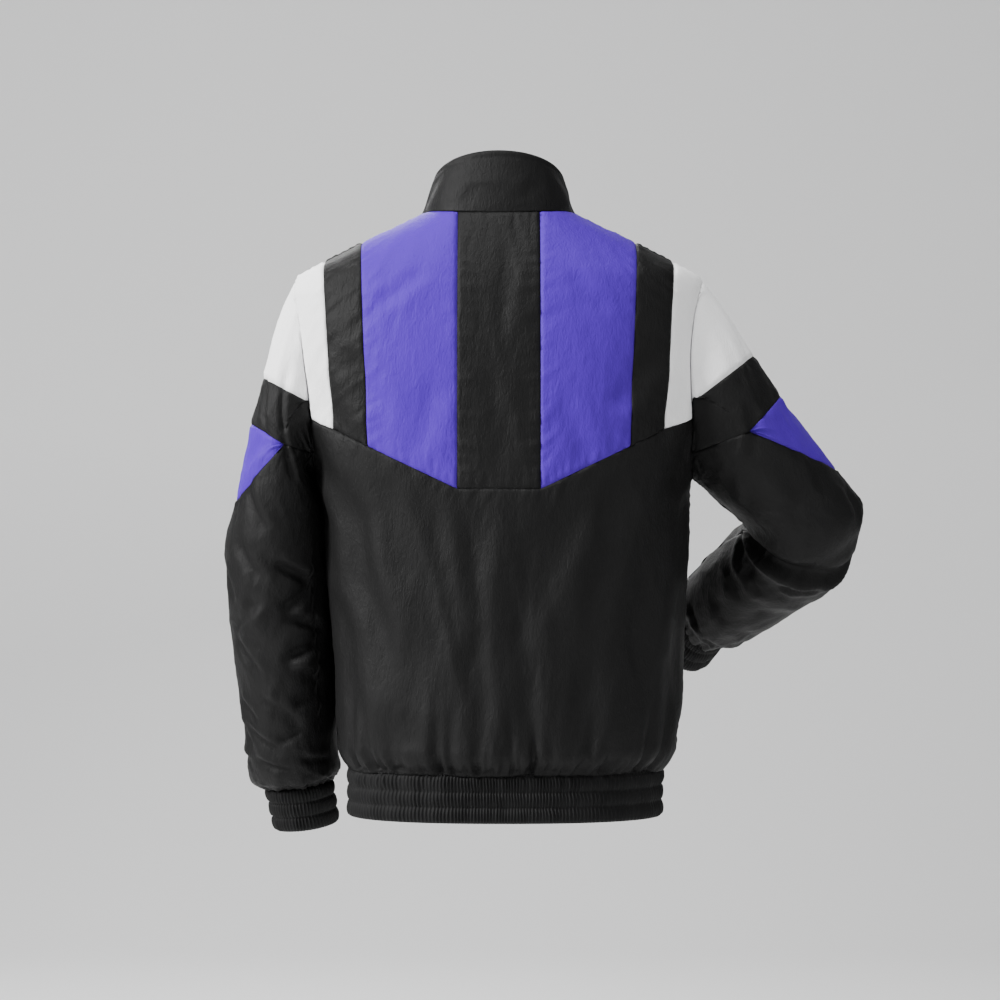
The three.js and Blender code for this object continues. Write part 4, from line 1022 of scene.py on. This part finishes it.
def sleeve_panels(side_name):
    """The cap, band, wedge and lower piece of one sleeve."""
    side = SIDES[side_name]
    cut, last = SLEEVE_PATTERN[side], SLEEVE_END[side]
    relief = sleeve_relief(side)

    def surface(turn, station):
        """This sleeve as a surface."""
        return sleeve_point(side, turn, station)

    def cloth_map(turn, station):
        """The cloth's own coordinates: round the sleeve and along it."""
        return turn * TURN_MM, -arm_distance(side, station)

    def piece(node, slot_name, grid, sewn=("top", "bottom")):
        """One panel of this sleeve."""
        cloth_sheet(f"{node}_{side_name}", slot_name, surface, grid, -side, relief, cloth_map, sewn,
                    steps=(0.2, 0.01))

    def pointed(start, tip, end):
        """A seam in two straight runs that meet at a tip."""
        return chain(straight_run(side, start, tip, OUTER_STEPS),
                     straight_run(side, tip, end, OUTER_STEPS))

    cap_foot = pointed((-CAP_END_TURN, 0), (0, cut["cap_end"]), (CAP_END_TURN, 0))
    corners = (ring(sign * CAP_CORNER_TURN, sign * CAP_END_TURN, CORNER_STEPS) for sign in (-1, 1))
    cap_head = ring(-CAP_CORNER_TURN, CAP_CORNER_TURN, 2 * OUTER_STEPS)
    piece("sleeve_cap", "white_nylon", blended(cap_head, cap_foot, *corners), ALL_EDGES)
    back, front = ((sign * cut["wedge_turn"], cut["wedge_point"]) for sign in (1, -1))
    under = [(sign * BAND_END_TURN, 0) for sign in (-1, 1)]
    upper = pointed(front, (0, cut["wedge_top"]), back)
    lower = pointed(front, (0, cut["wedge_foot"]), back)
    flanks = (straight_run(side, under[0], front, FLANK_STEPS),
              straight_run(side, back, under[1], FLANK_STEPS))
    band_head = chain(ring(-BAND_END_TURN, -CAP_END_TURN, FLANK_STEPS), cap_foot,
                      ring(CAP_END_TURN, BAND_END_TURN, FLANK_STEPS))
    band_foot = chain(flanks[0], upper, flanks[1])
    piece("sleeve_band", "black_nylon", ruled(blunt(band_head), blunt(band_foot), SLEEVE_BAND_LINES))
    piece("sleeve_kite", "purple_nylon", ruled(blunt(upper), blunt(lower), WEDGE_LINES))
    head = chain(ring(-180, -BAND_END_TURN, UNDER_STEPS), flanks[0], lower, flanks[1],
                 ring(BAND_END_TURN, 180, UNDER_STEPS))
    cuff_edge = line((-180, last), (180, last), len(head) - 1)
    rows = steps_for(along_arm[side][-1] - along_arm[side][3])
    piece("sleeve_lower", "black_nylon", ruled(head, cuff_edge, rows))


for side_name in SIDES:
    sleeve_panels(side_name)

# %% [markdown]
# ## Collar
# The stand collar rises from the neckline to a level, rolled top edge. It is one strip, open at the
# front for the zip, with a line of topstitching below the roll and small creases where it stands.

# %% Collar strip
# angle_start, t_start, angle_end, t_end, depth, width
COLLAR_CREASES = (
    (-86, 0.05, -64, 0.95, 1.8, 9), (84, 0.1, 60, 0.9, 2.0, 9), (-110, 0.1, -98, 0.8, 1.6, 8),
    (118, 0.15, 100, 0.9, 1.5, 8), (28, 0.05, 18, 0.5, 0.9, 7), (-20, 0.1, -34, 0.6, 0.9, 7),
    (146, 0.1, 130, 0.8, 1.4, 8), (-144, 0.2, -128, 0.9, 1.4, 8),
)


COLLAR_COLUMNS, COLLAR_LINES, COLLAR_TUCK = 180, 35, 0.02
COLLAR_MM_PER_DEGREE = 1.55
ROLL_STITCH, ROLL_EDGE = 63.5, 68


def collar_point(angle, t):
    """From the neckline (t 0) to the top oval (t 1), with a slight outward bow between."""
    angle, t = paired(angle, t)
    sine, cosine = np.sin(np.radians(angle)), np.cos(np.radians(angle))
    depth = np.where(cosine >= 0, COLLAR_TOP_BACK, COLLAR_TOP_FRONT)
    rise = COLLAR_SIDE_HEIGHT + (COLLAR_BACK_HEIGHT - COLLAR_SIDE_HEIGHT) * cosine
    top = np.stack([COLLAR_TOP_HALF_WIDTH * sine, depth * cosine, rise], axis=-1)
    bow = COLLAR_BOW * np.sin(np.pi * t)
    outwards = np.stack([sine, cosine, np.zeros_like(sine)], axis=-1)
    share = t[..., None]
    return body_point(angle, neckline(angle)) * (1 - share) + top * share + outwards * bow[..., None]


def collar_relief(angle, t):
    """Side creases, soft buckles, the topstitch groove and the roundness of the rolled edge."""
    height = COLLAR_BACK_HEIGHT * t
    rows = np.array(COLLAR_CREASES) * (1, COLLAR_BACK_HEIGHT, 1, COLLAR_BACK_HEIGHT, 1, 1)
    total = creases(rows, angle, height)
    total = total * ramp(t / 0.2) * ramp((1 - t) / 0.12)
    soft = 0.7 * buckles(angle / 24, height / 34, 4.4)
    total = total + soft * ramp((1 - t) / 0.15) * ramp(t / 0.2)
    total = total - 0.7 * bell((height - ROLL_STITCH) / 1.1)
    return total + 0.7 * bell((height - ROLL_EDGE) / 2.6)


neck_angles = [float(angle_of(*neck_corner(x, False), False)) for x in (-FRONT_EDGE, FRONT_EDGE)]
collar_grid = grid_of(np.linspace(*neck_angles, COLLAR_COLUMNS),
                      np.linspace(1, -COLLAR_TUCK, COLLAR_LINES))
cloth_sheet("collar", "black_nylon", collar_point, collar_grid, -1, collar_relief,
            lambda angle, t: (angle * COLLAR_MM_PER_DEGREE, t * COLLAR_BACK_HEIGHT),
            sewn=(), wall=BAND_WALL, steps=(0.05, 0.002))

# %% [markdown]
# ## Ribbed elastic
# The hem band and the cuffs are tubes of shirred cloth. Three rows of elastic pull them in, so each
# row bulges between two stitched grooves, and narrow upright ribs run from edge to edge. The ribs
# vary a little in width and height, as gathered cloth does.

# %% Hem band and cuffs
BAND_ROWS = 3
HEM_RIBS, CUFF_RIBS, RIB_HEIGHT = 220, 60, 2.3
RIB_STEPS, BAND_LINES, HEM_TUCK = 6, 28, 2
HEM_MM_PER_DEGREE, CUFF_MM_PER_DEGREE = 2.9, 0.8
HEM_SWELL, CUFF_SWELL = 1.6, 1.28
HEM_HEIGHT, CUFF_LENGTH = HEM_SEAM - HEM_BOTTOM, 52
CUFF_DIRECTION = {1: (-0.16, -0.2, -0.97), -1: (0.42, -0.62, -0.66)}


def rib_relief(turns, share, ribs):
    """Ribs as raised cosines, their phase and height wandering with noise, flat in the grooves."""
    phase = turns * ribs + 0.22 * noise(turns * ribs / 2.7, share * 3.1)
    swell = np.abs(np.sin(np.pi * BAND_ROWS * share)) ** 0.6
    tall = RIB_HEIGHT * (0.75 + 0.4 * noise(turns * ribs / 1.9, share * 2.3 + 4.5))
    wave = 0.5 + 0.5 * np.cos(2 * np.pi * phase)
    return tall * wave**1.6 * (0.35 + 0.65 * swell) - 0.9 * (1 - ramp(swell * 1.8))


def hem_point(angle, z):
    """Straight down from the hem seam, swelling outwards between the rows of stitching."""
    angle, z = paired(angle, z)
    point = body_point(angle, np.full(z.shape, float(HEM_SEAM)))
    share = (HEM_SEAM - z) / HEM_HEIGHT
    swell = HEM_SWELL * np.abs(np.sin(np.pi * BAND_ROWS * share))
    away = unit(point - [float(torso["centre_x"](HEM_SEAM)), 0, HEM_SEAM])
    return np.concatenate([point[..., :2] + away[..., :2] * swell[..., None], z[..., None]], axis=-1)


hem_angles = [float(angle_of(x, HEM_SEAM, False)) for x in (-FRONT_EDGE, FRONT_EDGE)]
hem_grid = grid_of(np.linspace(*hem_angles, HEM_RIBS * RIB_STEPS),
                   np.linspace(HEM_SEAM + HEM_TUCK, HEM_BOTTOM, BAND_LINES))
cloth_sheet("hem_band", "ribbed_elastic", hem_point, hem_grid, -1,
            lambda angle, z: rib_relief(angle / 360, (HEM_SEAM - z) / HEM_HEIGHT, HEM_RIBS),
            lambda angle, z: (angle * HEM_MM_PER_DEGREE, z), sewn=("top",), wall=BAND_WALL)


def cuff_surface(side):
    """The cuff runs on from the sleeve's last oval along its own direction."""
    last = SLEEVE_END[side]
    middle = sum(sleeve_edges(side, float(last))) / 2
    direction = unit(np.array(CUFF_DIRECTION[side]))

    def surface(turn, along):
        """The last oval moved along, swelling between the rows of elastic."""
        turn, along = paired(turn, along)
        seam = sleeve_point(side, turn, np.full(turn.shape, float(last)))
        away = unit(seam - middle)
        swell = CUFF_SWELL * np.abs(np.sin(np.pi * BAND_ROWS * along / CUFF_LENGTH)) - 0.03 * along
        return seam + away * swell[..., None] + direction * along[..., None]

    return surface


cuff_grid = grid_of(np.linspace(-180, 180, CUFF_RIBS * RIB_STEPS + 1),
                    np.linspace(0, CUFF_LENGTH, BAND_LINES))
for side_name, side in SIDES.items():
    cloth_sheet(f"cuff_{side_name}", "ribbed_elastic", cuff_surface(side), cuff_grid, -side,
                lambda turn, along: rib_relief(turn / 360, along / CUFF_LENGTH, CUFF_RIBS),
                lambda turn, along: (turn * CUFF_MM_PER_DEGREE, -along),
                sewn=("top",), wall=BAND_WALL, steps=(0.2, 0.05))

# %% [markdown]
# ## The zip
# Two tapes lie behind the front edges, and small teeth sit along their meeting edge, one on each
# side in turn. The slider and its pull tab are the CAD's own solids, in the same dark metal.

# %% Tapes and teeth
TAPE_WIDTH, TAPE_THICKNESS, TAPE_BEHIND = 14, 1.0, 2.4
TAPE_COLUMNS, TAPE_LINES = 9, 230
TOOTH_PITCH, TOOTH_SIZE, TOOTH_BEVEL = 2.6, (2.5, 1.5, 1.25), 0.25
TOOTH_SIDE, TOOTH_AHEAD = 0.7, 0.55
SLIDER_Z, SLIDER_REACH = 4, 9
TEETH_TOP, TEETH_FOOT = -3, HEM_BOTTOM + 3
COLLAR_FRONT_TOP = 2 * COLLAR_SIDE_HEIGHT - COLLAR_BACK_HEIGHT


def front_face(x, z):
    """How far forward the jacket's outer face lies beside the zip: collar, body, then hem band."""
    x, z = paired(x, z)
    t = (z + NECK_FRONT_DROP) / (COLLAR_FRONT_TOP + NECK_FRONT_DROP)
    curve = np.sqrt(1 - (x / COLLAR_TOP_HALF_WIDTH) ** 2)
    collar_y = collar_point(180.0, np.clip(t, 0, 1))[..., 1] * curve
    low = np.maximum(z, float(HEM_SEAM))
    body_y = body_point(angle_of(x, low, False), low)[..., 1]
    hem_z = np.minimum(z, float(HEM_SEAM))
    hem_y = hem_point(angle_of(x, float(HEM_SEAM), False), hem_z)[..., 1]
    return np.where(z > -NECK_FRONT_DROP, collar_y, np.where(z > HEM_SEAM, body_y, hem_y))


def tape_surface(x, z):
    """The tape's outer face, set back behind the front face."""
    x, z = paired(x, z)
    return np.stack([x, front_face(x, z) + TAPE_BEHIND, z], axis=-1)


tape_heights = np.linspace(COLLAR_FRONT_TOP, HEM_BOTTOM, TAPE_LINES)
for side_name, side in SIDES.items():
    tape_grid = grid_of(side * np.linspace(0, TAPE_WIDTH, TAPE_COLUMNS), tape_heights)
    cloth_sheet(f"zip_tape_{side_name}", "zip_tape", tape_surface, tape_grid, 1,
                lambda x, z: 0.0 * x, lambda x, z: (x, z), sewn=(), wall=TAPE_THICKNESS)


def box_mesh(name, centres, size, turns):
    """Many small bevelled blocks as one mesh: eight corners for each, turned about X."""
    corners = np.array([[x, y, z] for x in (-1, 1) for y in (-1, 1) for z in (-1, 1)]) / 2 * size
    cosine, sine = np.cos(turns)[:, None], np.sin(turns)[:, None]
    y = corners[:, 1] * cosine - corners[:, 2] * sine
    z = corners[:, 1] * sine + corners[:, 2] * cosine
    x = np.broadcast_to(corners[:, 0], y.shape)
    vertices = centres[:, None] + np.stack([x, y, z], axis=-1)
    block = np.array([[0, 1, 3, 2], [4, 6, 7, 5], [0, 4, 5, 1], [2, 3, 7, 6], [0, 2, 6, 4],
                      [1, 5, 7, 3]])
    faces = block[None] + 8 * np.arange(len(centres))[:, None, None]
    obj = build_mesh(name, vertices.reshape(-1, 3), faces.reshape(-1, 4), smooth=False)
    bevel = obj.modifiers.new("rounded", "BEVEL")
    bevel.width, bevel.segments = TOOTH_BEVEL * MM, 1
    return obj


tooth_z = np.arange(TEETH_TOP, TEETH_FOOT, -TOOTH_PITCH / 2)
tooth_z = tooth_z[np.abs(tooth_z - SLIDER_Z) > SLIDER_REACH]
tooth_x = np.where(np.arange(len(tooth_z)) % 2 == 0, TOOTH_SIDE, -TOOTH_SIDE)
tooth_y = front_face(0 * tooth_z, tooth_z) + TAPE_BEHIND - TOOTH_AHEAD
tooth_lean = np.gradient(tooth_y, tooth_z)
teeth = box_mesh("zip_teeth", np.stack([tooth_x, tooth_y, tooth_z], axis=-1), TOOTH_SIZE,
                 -np.arctan(tooth_lean))
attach(teeth, "jacket")
print("teeth", len(tooth_z))

# %% [markdown]
# ## Stitches
# Rows of lockstitch run beside the zip and along the collar's roll.
# A stitch is a short thread that dips in the cloth at both ends.

# %% Rows of stitches
STITCH_LENGTH, STITCH_GAP, THREAD_RADIUS = 2.3, 0.9, 0.24
STITCH_RING, STITCH_SECTIONS = 5, 5
STITCH_ARCH, STITCH_SINK, STITCH_CLEAR = 0.34, 0.16, 0.05
FRONT_STITCH_X, ROW_PLACES, ROLL_PLACES, ROLL_END = 10.5, 300, 400, 3


def stitch_row(path, normals):
    """Short threads along a path: each is a tube whose height follows a half sine."""
    steps = np.linalg.norm(np.diff(path, axis=0), axis=-1)
    run = np.concatenate([[0], np.cumsum(steps)])
    starts = np.arange(0.5, run[-1] - STITCH_LENGTH, STITCH_LENGTH + STITCH_GAP)
    t = np.linspace(0, 1, STITCH_SECTIONS)
    at = starts[:, None] + t * STITCH_LENGTH
    place = np.stack([np.interp(at, run, path[:, k]) for k in range(3)], axis=-1)
    normal = np.stack([np.interp(at, run, normals[:, k]) for k in range(3)], axis=-1)
    across = unit(np.cross(unit(np.gradient(place, axis=1)), normal))
    lifted = place + normal * (STITCH_ARCH * np.sin(np.pi * t) - STITCH_SINK)[None, :, None]
    ring_angle = np.linspace(0, 2 * np.pi, STITCH_RING, endpoint=False)
    radius = THREAD_RADIUS * (0.55 + 0.45 * np.sin(np.pi * t))[None, :, None, None]
    offset = (across[:, :, None] * np.cos(ring_angle)[:, None]
              + normal[:, :, None] * np.sin(ring_angle)[:, None])
    vertices = lifted[:, :, None] + radius * offset
    count = len(starts)
    index = np.arange(count * STITCH_SECTIONS * STITCH_RING)
    index = index.reshape(count, STITCH_SECTIONS, STITCH_RING)
    turned = np.roll(index, -1, axis=2)
    faces = np.stack([index[:, :-1], index[:, 1:], turned[:, 1:], turned[:, :-1]], axis=-1)
    return vertices.reshape(-1, 3), faces.reshape(-1, 4)


def surface_row(surface, places, steps, relief):
    """The path and normals of a row of places on a surface, on top of its relief."""
    a, b = places[:, 0], places[:, 1]
    normals = outward(surface, a, b, *steps, -1)
    return surface(a, b) + normals * (relief(a, b) + STITCH_CLEAR)[:, None], normals


def stitch_object(name, rows):
    """Joins several rows of stitches into one mesh."""
    vertices, faces, count = [], [], 0
    for path, normals in rows:
        row_vertices, row_faces = stitch_row(path, normals)
        vertices.append(row_vertices)
        faces.append(row_faces + count)
        count += len(row_vertices)
    obj = build_mesh(name, np.concatenate(vertices), np.concatenate(faces))
    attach(obj, "jacket")
    print(name, "faces", len(obj.data.polygons))
    return obj


roll_angles = np.linspace(neck_angles[0] + ROLL_END, neck_angles[1] - ROLL_END, ROLL_PLACES)
roll_share = np.full(ROLL_PLACES, ROLL_STITCH / COLLAR_BACK_HEIGHT)
stitch_rows = [surface_row(collar_point, np.stack([roll_angles, roll_share], axis=-1), (0.05, 0.002),
                           collar_relief)]
for side in SIDES.values():
    for start_z, end_z in ((-62, CHEVRON_LOW + 4), (CHEVRON_LOW - 5, HEM_SEAM + 6)):
        z = np.linspace(start_z, end_z, ROW_PLACES)
        places = np.stack([angle_of(side * FRONT_STITCH_X, z, False), z], axis=-1)
        stitch_rows.append(surface_row(body_point, places, (0.05, 0.05), body_relief))
stitches = stitch_object("stitches_front_and_collar", stitch_rows)

# %% [markdown]
# ## Writing shader sums as Python sums
# A small class wraps a socket of the node tree, so that a mask can be written as `1 - mask`. Each
# operator adds one maths node. One method makes any other node.


# %% The socket class
class Shade:
    """A socket in a material's node tree, with arithmetic."""

    def __init__(self, tree, socket):
        self.tree, self.socket = tree, socket

    def node(self, kind, settings=None, output=0, **inputs):
        """Adds a node: its settings first, then its socket values or links, by socket name."""
        new = self.tree.nodes.new(kind)
        for key, value in (settings or {}).items():
            setattr(new, key, value)
        for key, value in inputs.items():
            numbered = key[0] == "n" and key[1:].isdigit()
            target = new.inputs[int(key[1:]) if numbered else key.replace("_", " ")]
            if isinstance(value, Shade):
                self.tree.links.new(value.socket, target)
            else:
                target.default_value = value
        return Shade(self.tree, new.outputs[output])

    def maths(self, operation, other=0.0, turned=False):
        """Adds a maths node on this value and another, in that order or turned round."""
        first, second = (other, self) if turned else (self, other)
        return self.node("ShaderNodeMath", {"operation": operation}, n0=first, n1=second)

    def __add__(self, other):
        return self.maths("ADD", other)

    def __sub__(self, other):
        return self.maths("SUBTRACT", other)

    def __rsub__(self, other):
        return self.maths("SUBTRACT", other, turned=True)

    def __mul__(self, other):
        return self.maths("MULTIPLY", other)

    __radd__, __rmul__ = __add__, __mul__

    def sine(self):
        """The sine of this value."""
        return self.maths("SINE")

    def clipped(self):
        """This value held between 0 and 1."""
        return self.node("ShaderNodeClamp", n0=self)

    def scaled(self, factor):
        """The vector times a number or a triple."""
        factor = factor if isinstance(factor, tuple) else (factor,) * 3
        return self.node("ShaderNodeVectorMath", {"operation": "MULTIPLY"}, n0=self, n1=factor)

    def axis(self, number):
        """One number out of the vector."""
        return self.node("ShaderNodeSeparateXYZ", output=number, n0=self)

    def mixed(self, low, high):
        """The colour between low and high, by this mask."""
        return self.node("ShaderNodeMix", {"data_type": "RGBA"}, output=2, n0=self, n6=low, n7=high)


def new_material(name, **constants):
    """A Principled material with constants on its sockets. Returns it, its shader and a source."""
    material = bpy.data.materials.new(name)
    material.use_nodes = True
    tree = material.node_tree
    shader = tree.nodes["Principled BSDF"]
    for key, value in constants.items():
        shader.inputs[key.replace("_", " ")].default_value = value
    return material, shader, Shade(tree, None)


def plug(source, shader, key, value):
    """Links a value into one of the shader's sockets."""
    source.tree.links.new(value.socket, shader.inputs[key])


print("sockets can now be added and multiplied")

# %% [markdown]
# ## Nylon
# The weave is two sine waves across the cloth's own coordinates, 0.9 mm apart, high where one thread
# crosses the other. Finer crumples than the mesh can hold come from noise in the bump. The colour
# wanders slightly at random, and the threads' valleys are darker: painted shade between the threads.

# %% Cloth materials
THREAD_PITCH = 0.0009
FINE_CRUMPLE, SOFT_CRUMPLE, BROAD_TONE = (520.0, 520.0, 190.0), (130.0, 130.0, 52.0), 9.0
CRUMPLE_DEPTH, WEAVE_DEPTH = 0.0022, 0.00012


def nylon(name, colour, valley_shade_and_dark_tone_colour, roughness, sheen, crumple, weave=0.12):
    """A plain weave in one colour: soft and fine noise, then sin(x) sin(y) of the threads."""
    material, shader, source = new_material(
        name, Sheen_Weight=sheen, Sheen_Roughness=0.4, Specular_IOR_Level=0.16)
    cloth = source.node("ShaderNodeUVMap", {"uv_map": "cloth"})
    place = source.node("ShaderNodeTexCoord", output=3)
    waves = 2 * math.pi / THREAD_PITCH
    warp, weft = (cloth.axis(0) * waves).sine(), (cloth.axis(1) * waves).sine()
    threads = (warp * weft) * 0.5 + 0.5
    fine = source.node("ShaderNodeTexNoise", Vector=place.scaled(FINE_CRUMPLE), Scale=1.0,
                       Detail=3.0, Roughness=0.65)
    soft = source.node("ShaderNodeTexNoise", Vector=place.scaled(SOFT_CRUMPLE), Scale=1.0,
                       Detail=4.0, Roughness=0.6, Distortion=0.8)
    broad = source.node("ShaderNodeTexNoise", Vector=place, Scale=BROAD_TONE, Detail=2.0)
    height = soft * 0.5 + fine * 0.36
    crinkle = source.node("ShaderNodeBump", Strength=crumple, Distance=CRUMPLE_DEPTH, Height=height)
    normal = source.node("ShaderNodeBump", Strength=weave, Distance=WEAVE_DEPTH, Height=threads,
                         Normal=crinkle)
    plug(source, shader, "Normal", normal)
    # The colour is random tone from the broad noise, plus painted shade that darkens the threads'
    # valleys.
    mask = (threads * 0.35 + broad * 0.65).clipped()
    plug(source, shader, "Base Color", mask.mixed(valley_shade_and_dark_tone_colour, colour))
    plug(source, shader, "Roughness", roughness + 0.14 * (broad - 0.5) + 0.08 * (1 - threads))
    return material


def grey(value, tint=(1, 1, 1)):
    """A linear colour."""
    return (value * tint[0], value * tint[1], value * tint[2], 1)


# Each cloth's second colour is its darker random tone and the painted shade of the weave's valleys.
materials = {
    "black_nylon": nylon("black nylon", grey(0.0055, (1, 0.99, 1)), grey(0.0034, (1, 0.99, 0.99)),
                         0.56, 0.0, 0.85),
    "purple_nylon": nylon("purple nylon", (0.068, 0.013, 0.37, 1), (0.05, 0.009, 0.3, 1),
                          0.58, 0.0, 0.8),
    "white_nylon": nylon("white nylon", grey(0.94, (1, 1, 1.003)), grey(0.88, (1, 1, 1.003)),
                         0.6, 0.0, 0.7, 0.08),
    "ribbed_elastic": nylon("ribbed elastic", grey(0.0085, (1, 1, 1.02)), grey(0.004, (1, 1, 1.03)),
                            0.64, 0.0, 0.25, 0.2),
    "zip_tape": nylon("zip tape", grey(0.012), grey(0.008), 0.8, 0.25, 0.05, 0.5),
}
thread_material, shader, source = new_material("thread", Roughness=0.55, Sheen_Weight=0.2)
place = source.node("ShaderNodeTexCoord", output=3)
TWIST_RATE = 5200
twist_relief_and_shade = (place.axis(2) * TWIST_RATE + place.axis(0) * TWIST_RATE).sine() * 0.5 + 0.5
# The thread is lighter on the twist's ridges and darker in its grooves: painted shade that follows
# the same wave as the bump.
plug(source, shader, "Base Color", twist_relief_and_shade.mixed(grey(0.014), grey(0.03)))
plug(source, shader, "Normal",
     source.node("ShaderNodeBump", Strength=0.3, Distance=0.0001, Height=twist_relief_and_shade))

metal, shader, source = new_material("dark zip metal", Metallic=1.0)
place = source.node("ShaderNodeTexCoord", output=3)
grain = source.node("ShaderNodeTexNoise", Vector=place.scaled((900.0, 900.0, 220.0)), Scale=1.0,
                    Detail=3.0)
wear = source.node("ShaderNodeTexNoise", Vector=place, Scale=340.0, Detail=2.0)
plug(source, shader, "Base Color", wear.mixed(grey(0.14), grey(0.26)))
plug(source, shader, "Roughness", grain * 0.18 + 0.26)
plug(source, shader, "Normal",
     source.node("ShaderNodeBump", Strength=0.12, Distance=0.00008, Height=grain))
materials["zip_metal"] = metal

for obj, slot_name in sheets:
    obj.data.materials.append(materials[slot_name])
stitches.data.materials.append(thread_material)
teeth.data.materials.append(metal)
for name in ("zip_slider", "zip_pull_tab"):
    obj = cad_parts[name]
    obj.data.materials.clear()
    obj.data.materials.append(metal)
print("materials", sorted(materials))

# %% [markdown]
# ## Floor, light and camera
# The jacket hangs in the air over a pale floor that sweeps up behind it. A large soft light from the
# upper left of the picture models the cloth, and weaker ones fill the right side and the front.
# The camera stands level with the chevron seam, 3.5 m behind the jacket.

# %% Studio
FLOOR_Z, SWEEP_RADIUS, SWEEP_BACK, FLOOR_HALF, SWEEP_TOP = -1.35, 1.2, -3.2, 40.0, 7.0
CAMERA_PLACE, CAMERA_LENS = (-0.0012, 3.5, -0.3306), 107.7


def sweep():
    """A floor that turns up into a wall by a quarter circle."""
    turn = np.linspace(0, np.pi / 2, 25)
    wall_y = SWEEP_BACK - SWEEP_RADIUS
    y = np.concatenate([[FLOOR_HALF], SWEEP_BACK - SWEEP_RADIUS * np.sin(turn), [wall_y]])
    z = np.concatenate([[0.0], SWEEP_RADIUS * (1 - np.cos(turn)), [SWEEP_TOP]]) + FLOOR_Z
    rows = np.stack([np.column_stack([np.full(len(y), x), y, z]) for x in (-FLOOR_HALF, FLOOR_HALF)])
    index = np.arange(2 * len(y)).reshape(2, -1)
    faces = np.stack([index[0, :-1], index[0, 1:], index[1, 1:], index[1, :-1]], axis=-1)
    return build_mesh("floor", rows.reshape(-1, 3) / MM, faces)


floor = sweep()
floor_material, shader, source = new_material("pale floor", Roughness=0.9)
place = source.node("ShaderNodeTexCoord", output=3)
tone = source.node("ShaderNodeTexNoise", Vector=place, Scale=0.6)
plug(source, shader, "Base Color", tone.mixed(grey(0.84), grey(0.88)))
floor.data.materials.append(floor_material)


def area_light(name, place, aim, width, height, power):
    """A soft rectangular light, turned towards a point."""
    data = bpy.data.lights.new(name, "AREA")
    data.shape, data.size, data.size_y, data.energy = "RECTANGLE", width, height, power
    obj = bpy.data.objects.new(name, data)
    obj.location = place
    away = np.array(place) - np.array(aim)
    flat = math.hypot(away[0], away[1])
    obj.rotation_euler = (math.atan2(flat, away[2]), 0, math.atan2(away[0], -away[1]))
    bpy.context.scene.collection.objects.link(obj)
    return obj


# name, place, point aimed at, width and height in metres, power in watts
lights = [area_light(*row) for row in (
    ("key", (2.8, 1.3, 1.2), (0, 0, -0.35), 0.8, 1.1, 250),
    ("fill", (-2.5, 2.3, 0.5), (0, 0, -0.35), 1.2, 1.6, 34),
    ("top", (0.3, 0.7, 2.4), (0, 0, -0.3), 1.1, 1.1, 80),
    ("far side", (0.8, -2.6, 1.6), (0, 0, -0.35), 1.8, 1.8, 90),
)]
world = bpy.data.worlds.new("studio")
bpy.context.scene.world = world
world.use_nodes = True
background = world.node_tree.nodes["Background"]
background.inputs["Color"].default_value = (0.93, 0.94, 0.96, 1)
background.inputs["Strength"].default_value = 0.16
camera_data = bpy.data.cameras.new("camera")
camera_data.sensor_width, camera_data.lens = 36, CAMERA_LENS
camera = bpy.data.objects.new("camera", camera_data)
camera.location = CAMERA_PLACE
camera.rotation_euler = (math.pi / 2, 0, math.pi)
bpy.context.scene.collection.objects.link(camera)
bpy.context.scene.camera = camera
print("camera", CAMERA_PLACE, "lens", CAMERA_LENS)
